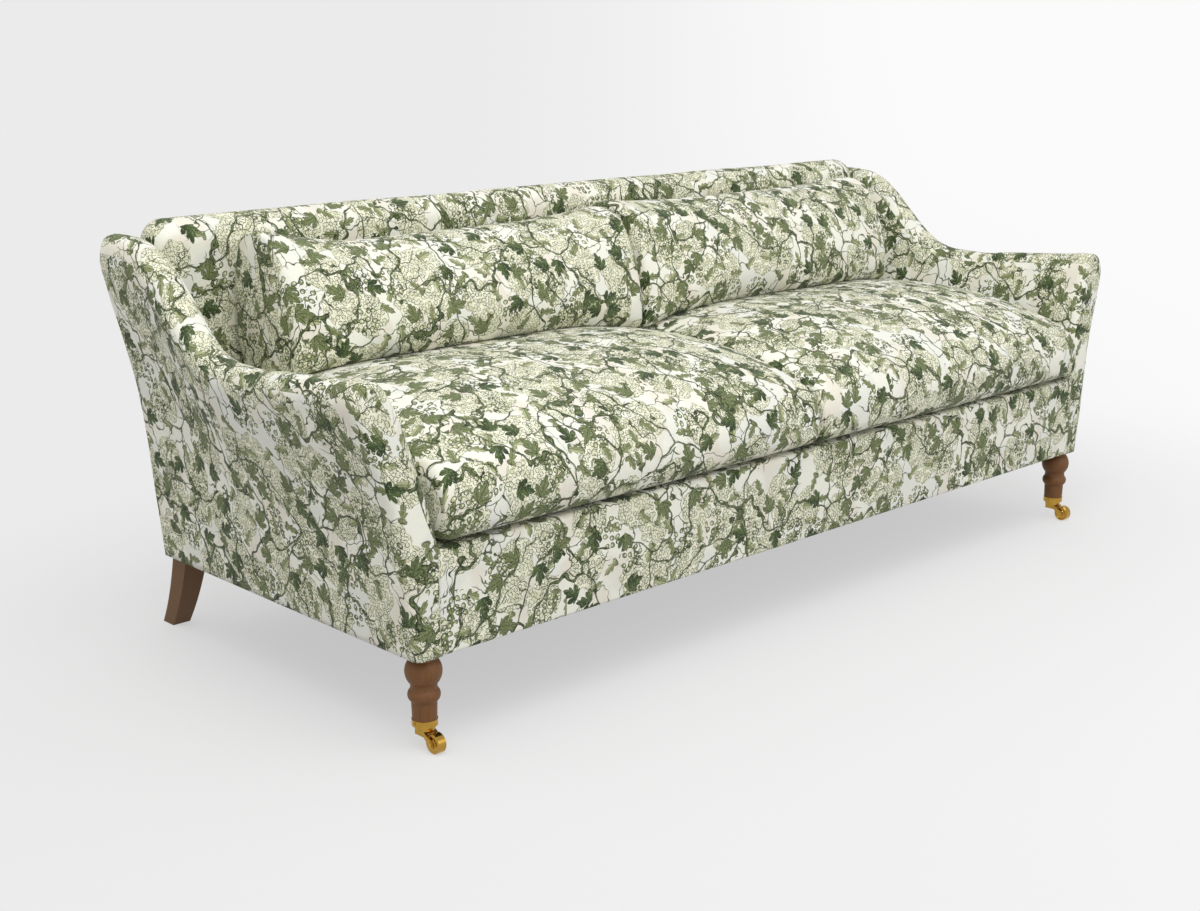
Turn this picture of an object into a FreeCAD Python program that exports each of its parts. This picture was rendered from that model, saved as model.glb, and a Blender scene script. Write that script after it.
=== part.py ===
"""A low-armed upholstered sofa with two seat cushions, two back cushions,
turned front legs on brass cup castors and swept square rear legs.

Lengths are in millimetres. +X is to the right of someone facing the sofa,
the front faces -Y and +Z is up. The origin lies on the floor, at the middle
of the box round the whole sofa.
"""
import FreeCAD
import Part
import Sketcher
import math
import os

Vector = FreeCAD.Vector

SIZES = {
    # Carcass
    "base_depth": 768.0,
    "base_clearance": 159.0,
    "crease_height": 333.0,
    "rail_top_height": 302.0,
    # Arms
    "arm_foot_width": 49.0,
    "arm_flare": 88.0,
    "arm_low_height": 581.0,
    "arm_front_lift": 24.0,
    "arm_back_drop": 25.0,
    "arm_front_lean": 19.5,
    "corner_round": 22.0,
    "roll_end_round": 24.0,
    # Back
    "back_height": 783.0,
    "roll_radius": 46.0,
    "back_pad_thick": 32.0,
    "back_panel_drop": 83.0,
    # Coverings
    "panel_thick": 6.0,
    "front_pad_thick": 12.0,
    "border_depth": 28.5,
    "border_lip_depth": 56.0,
    "dust_cover_thick": 1.5,
    "hessian_thick": 1.5,
    # Timber
    "rail_thick": 34.0,
    "board_thick": 26.0,
    "front_post_foot": 59.0,
    "front_post_drop": 40.0,
    "front_post_top_width": 40.0,
    "back_post_foot": 54.0,
    "back_post_depth": 55.0,
    "back_post_drop": 65.0,
    "back_post_top_width": 40.0,
    "post_panel_gap": 2.0,
    "arm_rail_inset": 70.0,
    "arm_rail_thick": 22.0,
    "arm_rail_cover": 40.0,
    "arm_rail_width": 70.0,
    "top_rail_width": 70.0,
    "stay_rail_height": 340.0,
    "stay_rail_width": 50.0,
    "centre_rail_width": 100.0,
    "corner_block_side": 80.0,
    "corner_block_foot_height": 200.0,
    "corner_block_tall": 60.0,
    # Springs and webbing
    "spring_wire_radius": 1.9,
    "spring_bend_radius": 15.0,
    "spring_straight": 24.0,
    "spring_spacing": 180.0,
    "clip_width": 20.0,
    "clip_depth": 20.0,
    "clip_tall": 7.0,
    "clip_floor": 1.5,
    "webbing_width": 50.0,
    "webbing_thick": 1.5,
    "webbing_spacing": 200.0,
    # Cushions
    "soft_gap": 0.4,
    "seat_side_gap": 3.0,
    "seat_overhang": 21.0,
    "seat_back_gap": 2.0,
    "seat_end_draw": 14.0,
    "seat_corner_radius": 14.0,
    "seat_rest_height": 500.0,
    "seat_rest_fall": 8.0,
    "seat_rest_margin": 10.5,
    "seat_crest_rise": 4.0,
    "seat_crown": 22.0,
    "seat_shoulder_foot": 57.0,
    "seat_shoulder_drop": 48.0,
    "seat_shoulder_depth": 30.0,
    "back_cushion_width": 834.0,
    "back_cushion_end_gap": 71.2,
    "back_cushion_height": 748.0,
    "back_cushion_depth": 234.0,
    "back_end_draw": 38.0,
    "back_corner_radius": 24.0,
    "back_face_lean": 98.0,
    "back_top_round": 18.0,
    "back_rear_round": 16.0,
    "cushion_wrap": 22.0,
    # Front legs
    "front_leg_inset": 35.0,
    "front_leg_setback": 32.0,
    "leg_neck_radius": 22.4,
    "leg_neck_length": 8.0,
    "leg_bulb_length": 40.0,
    "leg_waist_length": 10.0,
    "leg_waist_round": 14.3,
    "leg_ring_length": 19.5,
    "leg_ring_round": 13.0,
    "leg_ankle_radius": 20.8,
    "leg_foot_radius": 20.0,
    "leg_spigot_radius": 19.2,
    "leg_spigot_length": 8.2,
    # Rear legs
    "rear_leg_inset": 40.0,
    "rear_leg_setback": 32.0,
    "rear_leg_top_side": 46.0,
    "rear_leg_foot_side": 36.0,
    "rear_leg_sweep": 86.0,
    "rear_leg_draw_in": 10.0,
    # Leg bolts
    "bolt_radius": 4.0,
    "bolt_up": 60.0,
    "bolt_down": 45.0,
    "rear_bolt_down": 26.0,
    "fixing_clearance": 0.1,
    # Castors
    "cup_rim_height": 51.2,
    "cup_foot_height": 33.2,
    "cup_outer_radius": 21.0,
    "cup_step_radius": 16.5,
    "cup_step_height": 40.4,
    "cup_fit": 0.2,
    "pintle_radius": 4.0,
    "pintle_tang_radius": 3.0,
    "pintle_tang_length": 20.0,
    "pintle_head_radius": 6.0,
    "pintle_head_thick": 1.6,
    "running_clearance": 0.06,
    "wheel_radius": 16.5,
    "wheel_width": 17.0,
    "wheel_hub_radius": 6.5,
    "wheel_dish": 1.2,
    "wheel_rim_width": 1.8,
    "wheel_chamfer": 1.3,
    "castor_trail": 27.5,
    "horn_gap": 0.2,
    "horn_width": 24.0,
    "horn_neck_back": 11.0,
    "horn_neck_tall": 9.0,
    "horn_cheek_radius": 7.0,
    "wheel_clearance": 1.1,
    "wheel_side_clearance": 0.5,
    "axle_radius": 3.0,
    "axle_head_radius": 4.6,
    "axle_head_thick": 1.2,
    "screw_radius": 1.3,
    "screw_length": 9.0,
    "screw_head_radius": 2.4,
    "screw_head_thick": 1.0,
    "screw_height": 46.6,
    # One overrun serves every cutting tool
    "overrun": 40.0,
}

# Arm ridge: share of the base depth behind the front face, share of the
# front lift and share of the back lift at that station
RIDGE_SHARES = (
    (0.085, 0.84, 0.0),
    (0.165, 0.67, 0.0),
    (0.324, 0.29, 0.0),
    (0.465, 0.0, 0.0),
    (0.530, 0.0, 0.011),
    (0.582, 0.0, 0.068),
    (0.630, 0.0, 0.181),
    (0.676, 0.0, 0.350),
    (0.720, 0.0, 0.531),
    (0.758, 0.0, 0.695),
    (0.792, 0.0, 0.819),
    (0.835, 0.0, 0.927),
    (0.887, 0.0, 0.989),
    (0.935, 0.0, 1.0),
)

# Outer side of an arm: share of its height and share of the flare
OUTER_SHARES = (
    (0.0, 0.0),
    (0.2, 0.125),
    (0.4, 0.227),
    (0.55, 0.375),
    (0.7, 0.625),
    (0.85, 0.886),
)

# Top and inner side of an arm: share of its height, share of the width from
# the seat side to the widest point, and how a rounded edge draws it in
CREST_SHARES = (
    (0.94, 0.993, -1.0),
    (0.985, 0.927, -0.8),
    (1.0, 0.774, 0.0),
    (0.985, 0.60, 0.8),
    (0.955, 0.518, 1.0),
    (0.92, 0.453, 1.0),
    (0.86, 0.38, 1.0),
    (0.79, 0.30, 1.0),
    (0.72, 0.234, 1.0),
    (0.65, 0.175, 1.0),
    (0.55, 0.088, 1.0),
    (0.45, 0.022, 0.6),
    (0.38, 0.0, 0.0),
)

# Inner face of the outside arm panel: share of the arm's height where it
# leaves the timber, and where it runs a set number of layers inside
PANEL_FOOT_SHARE = 0.32
PANEL_RISE_SHARES = (0.45, 0.6, 0.75, 0.88)
PANEL_RISE_LAYERS = 2.0

# Rounded edge: share of the radius along the depth and share of the inset
ROUND_SHARES = ((0.0, 1.0), (0.293, 0.293), (1.0, 0.0))

# Cushion stations across the width: share of the crown, share of the draw-in
SEAT_STATION_SHARES = (
    (0.0, 0.0, 1.0),
    (0.022, 0.10, 0.30),
    (0.07, 0.42, 0.06),
    (0.22, 0.85, 0.0),
    (0.5, 1.0, 0.0),
    (0.78, 0.85, 0.0),
    (0.93, 0.36, 0.06),
    (0.978, 0.10, 0.30),
    (1.0, 0.0, 1.0),
)
BACK_STATION_SHARES = (
    (0.0, 1.0),
    (0.03, 0.52),
    (0.10, 0.20),
    (0.26, 0.03),
    (0.5, 0.0),
    (0.74, 0.03),
    (0.90, 0.20),
    (0.97, 0.52),
    (1.0, 1.0),
)
# Place of a seat cushion's crest between its front and its rest strip
SEAT_CREST_SHARE = 0.631
# How far a drawn-in back cushion end pulls in the rear, foot and top
BACK_DRAW_SHARES = {"rear": 0.6, "foot": 0.1, "top": 0.14}

# Rear leg: share of its height from the top, share of its sweep
REAR_LEG_SHARES = ((0.0, 0.0), (0.35, 0.27), (0.7, 0.62), (1.0, 1.0))

SIDES = (("right", 1), ("left", -1))
LOFT_DEGREE = 2


class Size:
    """A length together with the sheet expression that gives it."""

    def __init__(self, text, value):
        self.text = text
        self.value = float(value)

    def __float__(self):
        return self.value

    def __neg__(self):
        return Size(f"(-{self.text})", -self.value)

    def __add__(self, other):
        other = as_size(other)
        return Size(f"({self.text} + {other.text})", self.value + other.value)

    def __sub__(self, other):
        return self + (-as_size(other))

    def __mul__(self, factor):
        return Size(f"({self.text} * {factor})", self.value * factor)

    def __truediv__(self, factor):
        return Size(f"({self.text} / {factor})", self.value / factor)

    __radd__ = __add__
    __rmul__ = __mul__


def as_size(value):
    """The value itself if it is a Size, or a Size that holds it."""
    return value if isinstance(value, Size) else Size(f"({value})", value)


def hypotenuse(a, b):
    """Length of the long side over two sizes at a right angle."""
    value = math.sqrt(float(a) ** 2 + float(b) ** 2)
    return Size(f"sqrt({a.text} * {a.text} + {b.text} * {b.text})", value)


def cell(name):
    """The named size of the sheet."""
    return Size(f"Sizes.{name}", SIZES[name])


doc = FreeCAD.newDocument("Sofa")
sheet = doc.addObject("Spreadsheet::Sheet", "Sizes")
for row, (name, number) in enumerate(SIZES.items(), 1):
    sheet.set(f"A{row}", name)
    sheet.set(f"B{row}", str(number))
    sheet.setAlias(f"B{row}", name)
doc.recompute()

nodes = []
none = Size("0", 0.0)
over = cell("overrun")

# Places that several pieces share. The cushions give the sofa its width.
seat_near = cell("soft_gap") * 2
half_seat = seat_near + cell("back_cushion_width") + cell("back_cushion_end_gap")
half_base = half_seat + cell("arm_foot_width")
widest = half_base + cell("arm_flare")
heel = cell("rear_leg_sweep") + cell("rear_leg_foot_side") / 2 - cell("rear_leg_setback")
front_face = (cell("seat_overhang") - cell("base_depth") - heel) / 2
back_face = front_face + cell("base_depth")
underside = cell("base_clearance")
timber_foot = underside + cell("dust_cover_thick")
rail_top = cell("rail_top_height")
crease = cell("crease_height")
arm_front_height = cell("arm_low_height") + cell("arm_front_lift")
arm_back_height = cell("back_height") - cell("arm_back_drop")
arm_back_lift = arm_back_height - cell("arm_low_height")
back_panel_top = cell("back_height") - cell("back_panel_drop")
front_post_top = arm_front_height - cell("front_post_drop")
back_post_top = cell("back_height") - cell("back_post_drop")
lean_rise = arm_front_height - crease
lean_slope = float(cell("arm_front_lean")) / float(lean_rise)
border_back = front_face + cell("border_depth")
timber_front = front_face + cell("front_pad_thick")
post_back = timber_front + cell("rail_thick")
timber_back = back_face - cell("panel_thick")
back_post_front = timber_back - cell("back_post_depth")
back_rail_front = timber_back - cell("rail_thick")
timber_side = half_base - cell("panel_thick")
side_rail_inner = timber_side - cell("rail_thick")
front_post_inner = timber_side - cell("front_post_foot")
back_post_inner = timber_side - cell("back_post_foot")
webbing_front = back_post_front - cell("webbing_thick")
inside_back = webbing_front - cell("back_pad_thick")
clip_top = rail_top + cell("clip_tall")
deck_foot = clip_top + cell("hessian_thick")
lip_back = border_back + cell("border_lip_depth")


def keep(feature):
    """Lists a feature as a piece that is written out."""
    nodes.append(feature)
    return feature


def bind(feature, name, size):
    """Binds a property to a size, through the sheet."""
    feature.setExpression(name, size.text)


def place(feature, corner):
    """Binds the place of a feature."""
    for axis, size in zip("xyz", corner):
        bind(feature, f"Placement.Base.{axis}", as_size(size))


def box(label, low, high):
    """A box between two corners."""
    feature = doc.addObject("Part::Box", label)
    place(feature, low)
    for name, a, b in zip(("Length", "Width", "Height"), low, high):
        bind(feature, name, as_size(b) - as_size(a))
    return feature


def cylinder(label, radius, foot, length, axis="Z"):
    """A cylinder from the middle of its foot, along X or Z."""
    feature = doc.addObject("Part::Cylinder", label)
    if axis == "X":
        feature.Placement = FreeCAD.Placement(Vector(), FreeCAD.Rotation(Vector(0, 1, 0), 90))
    place(feature, foot)
    bind(feature, "Radius", radius)
    bind(feature, "Height", length)
    return feature


def cut(label, base, tools):
    """The base without each tool in turn."""
    for count, tool in enumerate(tools, 1):
        feature = doc.addObject("Part::Cut", f"{label}_cut_{count}")
        feature.Base = base
        feature.Tool = tool
        base = feature
    base.Label = label
    return base


def common(label, base, tool):
    """What two solids share."""
    feature = doc.addObject("Part::Common", label)
    feature.Base = base
    feature.Tool = tool
    return feature


def fuse(label, shapes):
    """One solid from several that meet."""
    feature = doc.addObject("Part::MultiFuse", label)
    feature.Shapes = shapes
    feature.Refine = True
    return feature


def group(label, shapes):
    """Separate solids kept as one piece."""
    feature = doc.addObject("Part::Compound", label)
    feature.Links = shapes
    return feature


def mirrored(label, source):
    """The same piece on the other side of the middle."""
    feature = doc.addObject("Part::Mirroring", label)
    feature.Source = source
    feature.Normal = Vector(1, 0, 0)
    return feature


def modelled(label, shape):
    """A piece whose surface no primitive or sketch gives."""
    feature = doc.addObject("Part::Feature", label)
    feature.Shape = shape
    feature.Placement = FreeCAD.Placement()
    return feature


def both_sides(name, source):
    """Keeps a right-hand piece and its mirror image, which is returned."""
    source.Label = f"{name}_right"
    keep(source)
    return keep(mirrored(f"{name}_left", source))


def outline_sketch(body, plane, outline, start):
    """A closed sketch in an origin plane of the body.

    Each entry is (x, y) for a line to the next point, or (x, y, radius) for
    an arc to it. The arc's centre lies left of the travel, or right of it
    where the radius is negative.
    """
    sketch = body.newObject("Sketcher::SketchObject", body.Name + "_outline")
    datum = [f for f in body.Origin.OriginFeatures if f.Role == f"{plane}_Plane"][0]
    sketch.AttachmentSupport = [(datum, "")]
    sketch.MapMode = "FlatFace"
    offset = -as_size(start) if plane == "XZ" else as_size(start)
    sketch.AttachmentOffset = FreeCAD.Placement(Vector(0, 0, float(offset)), FreeCAD.Rotation())
    sketch.setExpression("AttachmentOffset.Base.z", offset.text)
    points = [Vector(float(p[0]), float(p[1]), 0) for p in outline]
    ends = []
    for index, entry in enumerate(outline):
        a = points[index]
        b = points[(index + 1) % len(points)]
        radius = float(entry[2]) if len(entry) == 3 else 0.0
        if radius == 0.0:
            sketch.addGeometry(Part.LineSegment(a, b))
            ends.append((1, 2))
            continue
        chord = b - a
        left = Vector(-chord.y, chord.x, 0).normalize()
        reach = math.copysign(math.sqrt(radius ** 2 - chord.Length ** 2 / 4), radius)
        centre = a + chord / 2 + left * reach
        first, last = (a, b) if radius > 0 else (b, a)
        turn_first = math.atan2(first.y - centre.y, first.x - centre.x)
        turn_last = math.atan2(last.y - centre.y, last.x - centre.x)
        circle = Part.Circle(centre, Vector(0, 0, 1), abs(radius))
        sketch.addGeometry(Part.ArcOfCircle(circle, turn_first, turn_last))
        ends.append((1, 2) if radius > 0 else (2, 1))
    for index, entry in enumerate(outline):
        following = (index + 1) % len(outline)
        fix_point(sketch, index, ends[index][0], entry)
        sketch.addConstraint(Sketcher.Constraint("Coincident", index, ends[index][1],
                                                 following, ends[following][0]))
        if len(entry) == 3:
            size = as_size(entry[2])
            size = size if float(size) > 0 else -size
            number = sketch.addConstraint(Sketcher.Constraint("Radius", index, float(size)))
            sketch.setExpression(f"Constraints[{number}]", size.text)
    return sketch


def fix_point(sketch, index, end, entry):
    """Holds one end of an edge at sizes from the sheet, or on an axis."""
    for kind, axis, size in (("DistanceX", -2, as_size(entry[0])), ("DistanceY", -1, as_size(entry[1]))):
        if float(size) == 0.0:
            sketch.addConstraint(Sketcher.Constraint("PointOnObject", index, end, axis))
            continue
        number = sketch.addConstraint(Sketcher.Constraint(kind, -1, 1, index, end, float(size)))
        sketch.setExpression(f"Constraints[{number}]", size.text)


def padded_body(label, plane, outline, start, length):
    """A sketch padded towards the positive side of its plane's normal axis."""
    body = doc.addObject("PartDesign::Body", label)
    sketch = outline_sketch(body, plane, outline, start)
    pad = body.newObject("PartDesign::Pad", f"{label}_pad")
    pad.Profile = sketch
    pad.Reversed = plane == "XZ"
    bind(pad, "Length", length)
    sketch.Visibility = False
    return body


def turned_body(label, outline, axis):
    """A sketch in the XZ plane, turned about its upright or level axis."""
    body = doc.addObject("PartDesign::Body", label)
    sketch = outline_sketch(body, "XZ", outline, none)
    turned = body.newObject("PartDesign::Revolution", f"{label}_turning")
    turned.Profile = sketch
    turned.ReferenceAxis = (sketch, [axis])
    turned.Angle = 360
    return body


# Arm surface


def outer_reach(share):
    """Distance of an arm's outer side from the middle, at a share of its height."""
    for (low, a), (high, b) in zip(OUTER_SHARES, OUTER_SHARES[1:]):
        if share <= high:
            return float(half_base) + float(cell("arm_flare")) * (a + (b - a) * (share - low) / (high - low))
    return float(widest)


def arm_stations():
    """Top height, inset, depth at crease height and slope of every arm section."""
    stations = []
    radius = float(cell("corner_round"))
    low = float(cell("arm_low_height"))
    for along, inset in ROUND_SHARES:
        depth = float(front_face) + along * radius
        stations.append((float(arm_front_height), inset * radius, depth, lean_slope))
    for depth, front, back in RIDGE_SHARES:
        top = low + front * float(cell("arm_front_lift")) + back * float(arm_back_lift)
        stations.append((top, 0.0, float(front_face) + depth * float(cell("base_depth")), 0.0))
    for along, inset in reversed(ROUND_SHARES):
        depth = float(back_face) - along * radius
        stations.append((float(arm_back_height), inset * radius, depth, 0.0))
    return stations


def arm_section(top, inset, depth, slope):
    """Closed outline of an arm at one station."""
    foot = float(underside)
    rise = top - inset - foot

    def point(x, z):
        return Vector(x, depth + slope * (z - float(crease)), z)

    rim = []
    for share, flare in OUTER_SHARES:
        x = float(half_base) + flare * float(cell("arm_flare")) - inset
        rim.append(point(x, foot + share * rise))
    width = float(widest) - float(half_seat)
    for share, across, draw in CREST_SHARES:
        x = float(half_seat) + across * width + (draw * inset if draw < 0 or slope else 0.0)
        rim.append(point(x, foot + share * rise))
    curve = Part.BSplineCurve()
    curve.interpolate(rim)
    inner_foot = point(float(half_seat), foot)
    edges = [curve.toShape(), Part.makeLine(rim[-1], inner_foot), Part.makeLine(inner_foot, rim[0])]
    return Part.Wire(edges)


def panel_section(top, depth):
    """Closed outline of all that lies outside the outside arm panel's inner face."""
    foot = float(underside)
    rise = top - foot
    thick = float(cell("panel_thick"))
    far = float(widest + over)
    deep = foot - float(over)
    low = Vector(float(timber_side), depth, deep)
    rim = [Vector(float(timber_side), depth, foot + PANEL_FOOT_SHARE * rise)]
    for share in PANEL_RISE_SHARES:
        rim.append(Vector(outer_reach(share) - PANEL_RISE_LAYERS * thick, depth, foot + share * rise))
    curve = Part.BSplineCurve()
    curve.interpolate(rim)
    top_corner = Vector(far, depth, rim[-1].z)
    low_corner = Vector(far, depth, deep)
    edges = [
        Part.makeLine(low, rim[0]),
        curve.toShape(),
        Part.makeLine(rim[-1], top_corner),
        Part.makeLine(top_corner, low_corner),
        Part.makeLine(low_corner, low),
    ]
    return Part.Wire(edges)


def arm_envelope():
    """The whole arm, from the underside to the ridge and from front to back."""
    wires = [arm_section(*station) for station in arm_stations()]
    return Part.makeLoft(wires, True, False, False, LOFT_DEGREE)


def panel_envelope():
    """All that lies outside the panel's inner face, past both ends of the arm."""
    run = [(float(arm_front_height), float(front_face - over))]
    run += [(top, depth) for top, inset, depth, slope in arm_stations() if inset == 0.0 and slope == 0.0]
    run.append((float(arm_back_height), float(back_face + over)))
    wires = [panel_section(top, depth) for top, depth in run]
    return Part.makeLoft(wires, True, False, False, LOFT_DEGREE)


far_front = front_face - over - over
far_back = back_face + over + over
arm_solid = modelled("arm_envelope_right", arm_envelope())
arm_solid_left = mirrored("arm_envelope_left", arm_solid)
panel_solid = modelled("panel_envelope_right", panel_envelope())


# Timber frame

front_rail = keep(box("front_rail", (-front_post_inner, timber_front, timber_foot),
                      (front_post_inner, post_back, rail_top)))
back_rail = keep(box("back_rail", (-back_post_inner, back_rail_front, timber_foot),
                     (back_post_inner, timber_back, rail_top)))
side_rail = box("side_rail_right", (side_rail_inner, post_back, timber_foot),
                (timber_side, back_post_front, rail_top))
both_sides("side_rail", side_rail)
half_rail = cell("rail_thick") / 2
keep(box("centre_rail", (-half_rail, post_back, timber_foot),
         (half_rail, back_rail_front, timber_foot + cell("centre_rail_width"))))


def bolt_hole(label, reach, depth):
    """The hole that a leg's bolt takes, from below the frame up into it."""
    radius = cell("bolt_radius") + cell("fixing_clearance")
    length = over + cell("bolt_up") + cell("fixing_clearance")
    return cylinder(label, radius, (reach, depth, underside - over), length)


front_leg_reach = half_base - cell("front_leg_inset")
rear_leg_reach = half_base - cell("rear_leg_inset")
front_leg_depth = front_face + cell("front_leg_setback")
rear_leg_depth = back_face - cell("rear_leg_setback")


def post_knee(arm_height):
    """Height where a post begins to lean out, at the foot of the arm's flare."""
    return underside + (arm_height - underside) * PANEL_FOOT_SHARE


def post_reach(arm_height, height):
    """Outer reach of a leaning post, straight and a gap inside the outside arm panel."""
    rise = float(arm_height - underside)
    inside = PANEL_RISE_LAYERS * float(cell("panel_thick")) + float(cell("post_panel_gap"))
    slopes = []
    for share in PANEL_RISE_SHARES:
        run = outer_reach(share) - inside - float(timber_side)
        slopes.append(run / ((share - PANEL_FOOT_SHARE) * rise))
    return timber_side + (height - post_knee(arm_height)) * min(slopes)


def front_post():
    """Shaped upright at the front of an arm, which leans out and back."""
    top = front_post_top
    top_outer = post_reach(arm_front_height, top)
    top_inner = top_outer - cell("front_post_top_width")
    outline = [
        (front_post_inner, timber_foot),
        (timber_side, timber_foot),
        (timber_side, post_knee(arm_front_height)),
        (top_outer, top),
        (top_inner, top),
        (side_rail_inner, crease),
        (front_post_inner, rail_top),
    ]
    blank = padded_body("front_post_blank", "XZ", outline, timber_front, cell("rail_thick"))
    slope = cell("arm_front_lean") * ((float(top) - float(crease)) / float(lean_rise))
    wedge = padded_body("front_post_wedge", "YZ", [
        (timber_front - over, crease),
        (timber_front, crease),
        (timber_front + slope, top),
        (timber_front + slope, top + over),
        (timber_front - over, top + over),
    ], front_post_inner - over, timber_side + widest)
    hole = bolt_hole("front_post_hole", front_leg_reach, front_leg_depth)
    return cut("front_post_right", blank, [wedge, hole])


def back_post():
    """Upright at the back corner, which leans out with the arm."""
    top = back_post_top
    top_outer = post_reach(arm_back_height, top)
    outline = [
        (back_post_inner, timber_foot),
        (timber_side, timber_foot),
        (timber_side, post_knee(arm_back_height)),
        (top_outer, top),
        (top_outer - cell("back_post_top_width"), top),
        (back_post_inner, rail_top),
    ]
    blank = padded_body("back_post_blank", "XZ", outline, back_post_front, cell("back_post_depth"))
    hole = bolt_hole("back_post_hole", rear_leg_reach, rear_leg_depth)
    return cut("back_post_right", blank, [hole])


def ridge_curve(drop, first, last):
    """Curve that follows the arm ridge, a given drop below it, between two depths."""
    start = Vector(float(half_seat + cell("arm_rail_inset")), first, float(arm_front_height) - drop)
    points = [start]
    for top, inset, depth, slope in arm_stations():
        if inset == 0.0 and first < depth < last and slope == 0.0:
            points.append(Vector(start.x, depth, top - drop))
    points.append(Vector(start.x, last, float(arm_back_height) - drop))
    curve = Part.BSplineCurve()
    curve.interpolate(points)
    return curve.toShape()


def arm_rail():
    """Curved board under the arm ridge, from the front post to the back post."""
    first = float(post_back)
    last = float(back_post_front)
    cover = float(cell("arm_rail_cover"))
    upper = ridge_curve(cover, first, last)
    lower = ridge_curve(cover + float(cell("arm_rail_width")), first, last)
    front = Part.makeLine(lower.valueAt(lower.FirstParameter), upper.valueAt(upper.FirstParameter))
    back = Part.makeLine(lower.valueAt(lower.LastParameter), upper.valueAt(upper.LastParameter))
    face = Part.Face(Part.Wire(Part.__sortEdges__([upper, front, lower, back])))
    return face.extrude(Vector(float(cell("arm_rail_thick")), 0, 0))


front_post_right = front_post()
back_post_right = back_post()
arm_rail_right = modelled("arm_rail_right", arm_rail())
front_post_left = both_sides("front_post", front_post_right)
both_sides("back_post", back_post_right)
both_sides("arm_rail", arm_rail_right)

board_back = back_post_front + cell("board_thick")
top_rail_foot = back_post_top - cell("top_rail_width")


def between_posts(label, foot, head):
    """Board of the back between the two leaning back posts."""
    rise = float(back_post_top - rail_top)
    inner_top = post_reach(arm_back_height, back_post_top) - cell("back_post_top_width")
    reach_low = back_post_inner + (inner_top - back_post_inner) * (float(foot - rail_top) / rise)
    reach_high = back_post_inner + (inner_top - back_post_inner) * (float(head - rail_top) / rise)
    outline = [(-reach_low, foot), (reach_low, foot), (reach_high, head), (-reach_high, head)]
    return padded_body(label, "XZ", outline, back_post_front, cell("board_thick"))


stay_head = cell("stay_rail_height") + cell("stay_rail_width")
back_top_rail = keep(between_posts("back_top_rail", top_rail_foot, back_post_top))
back_stay_rail = keep(between_posts("back_stay_rail", cell("stay_rail_height"), stay_head))
keep(box("back_centre_post", (-half_rail, back_post_front, stay_head),
         (half_rail, board_back, top_rail_foot)))

block_foot = cell("corner_block_foot_height")
block_side = cell("corner_block_side")
front_block = padded_body("corner_block_front", "XY", [
    (side_rail_inner, post_back),
    (side_rail_inner, post_back + block_side),
    (side_rail_inner - block_side, post_back),
], block_foot, cell("corner_block_tall"))
rear_block = padded_body("corner_block_rear", "XY", [
    (side_rail_inner, back_post_front),
    (back_post_inner, back_post_front),
    (back_post_inner, back_rail_front),
    (back_post_inner - block_side, back_rail_front),
    (side_rail_inner, back_post_front - block_side),
], block_foot, cell("corner_block_tall"))
keep(group("corner_blocks", [front_block, rear_block, mirrored("corner_block_front_left", front_block),
                             mirrored("corner_block_rear_left", rear_block)]))


# Springs, clips, hessian and webbing

spring_front = timber_front + half_rail
spring_back = timber_back - half_rail
wire_height = rail_top + cell("clip_floor") + cell("spring_wire_radius") + cell("fixing_clearance")


def spring_path(start, finish, height):
    """Level zigzag of cross runs joined by half turns, all of one pitch."""
    half_run = float(cell("spring_straight")) / 2
    turns = max(2, round((finish - start) / (2 * float(cell("spring_bend_radius")))))
    pitch = (finish - start) / turns
    edges = []
    side = 1
    for count in range(turns + 1):
        depth = start + count * pitch
        near = Vector(-side * half_run, depth, height)
        end = Vector(side * half_run, depth, height)
        edges.append(Part.makeLine(near, end))
        if count < turns:
            after = Vector(end.x, depth + pitch, height)
            crown = Vector(end.x + side * pitch / 2, depth + pitch / 2, height)
            edges.append(Part.Arc(end, crown, after).toShape())
        side = -side
    return Part.Wire(edges)


def spring_places():
    """Evenly spaced places across the seat, none of them over the middle."""
    spacing = float(cell("spring_spacing"))
    count = int(float(half_seat) // spacing)
    return [side * (index + 0.5) * spacing for index in range(count) for side in (-1, 1)]


def seat_springs():
    """Zigzag springs from the front rail to the back rail."""
    path = spring_path(float(spring_front), float(spring_back), float(wire_height))
    start = path.Edges[0].Vertexes[0].Point
    section = Part.Wire(Part.makeCircle(float(cell("spring_wire_radius")), start, Vector(1, 0, 0)))
    spring = path.makePipeShell([section], True, False)
    return Part.makeCompound([spring.translated(Vector(x, 0, 0)) for x in spring_places()])


def spring_clips():
    """Metal clips that hold both ends of each spring on the rails."""
    width = float(cell("clip_width"))
    depth = float(cell("clip_depth"))
    radius = float(cell("spring_wire_radius") + cell("fixing_clearance"))
    clips = []
    for x in spring_places():
        for y in (float(spring_front), float(spring_back)):
            block = Part.makeBox(width, depth, float(cell("clip_tall")),
                                 Vector(x - width / 2, y - depth / 2, float(rail_top)))
            channel = Part.makeCylinder(radius, width + 2 * float(over),
                                        Vector(x - width / 2 - float(over), y, float(wire_height)),
                                        Vector(1, 0, 0))
            clips.append(block.cut(channel))
    return Part.makeCompound(clips)


keep(modelled("seat_springs", seat_springs()))
keep(modelled("spring_clips", spring_clips()))
keep(box("spring_hessian", (-half_seat, lip_back, clip_top), (half_seat, inside_back, deck_foot)))
half_deck = half_seat - cell("soft_gap")
keep(box("seat_deck", (-half_deck, lip_back, deck_foot), (half_deck, inside_back, crease)))


def back_webbing():
    """Upright straps on the front of the back rails."""
    width = float(cell("webbing_width"))
    spacing = float(cell("webbing_spacing"))
    foot = float(cell("stay_rail_height"))
    tall = float(back_post_top) - foot
    count = int(float(back_post_inner) // spacing)
    straps = []
    for index in range(-count, count + 1):
        corner = Vector(index * spacing - width / 2, float(webbing_front), foot)
        straps.append(Part.makeBox(width, float(cell("webbing_thick")), tall, corner))
    return Part.makeCompound(straps)


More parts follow.
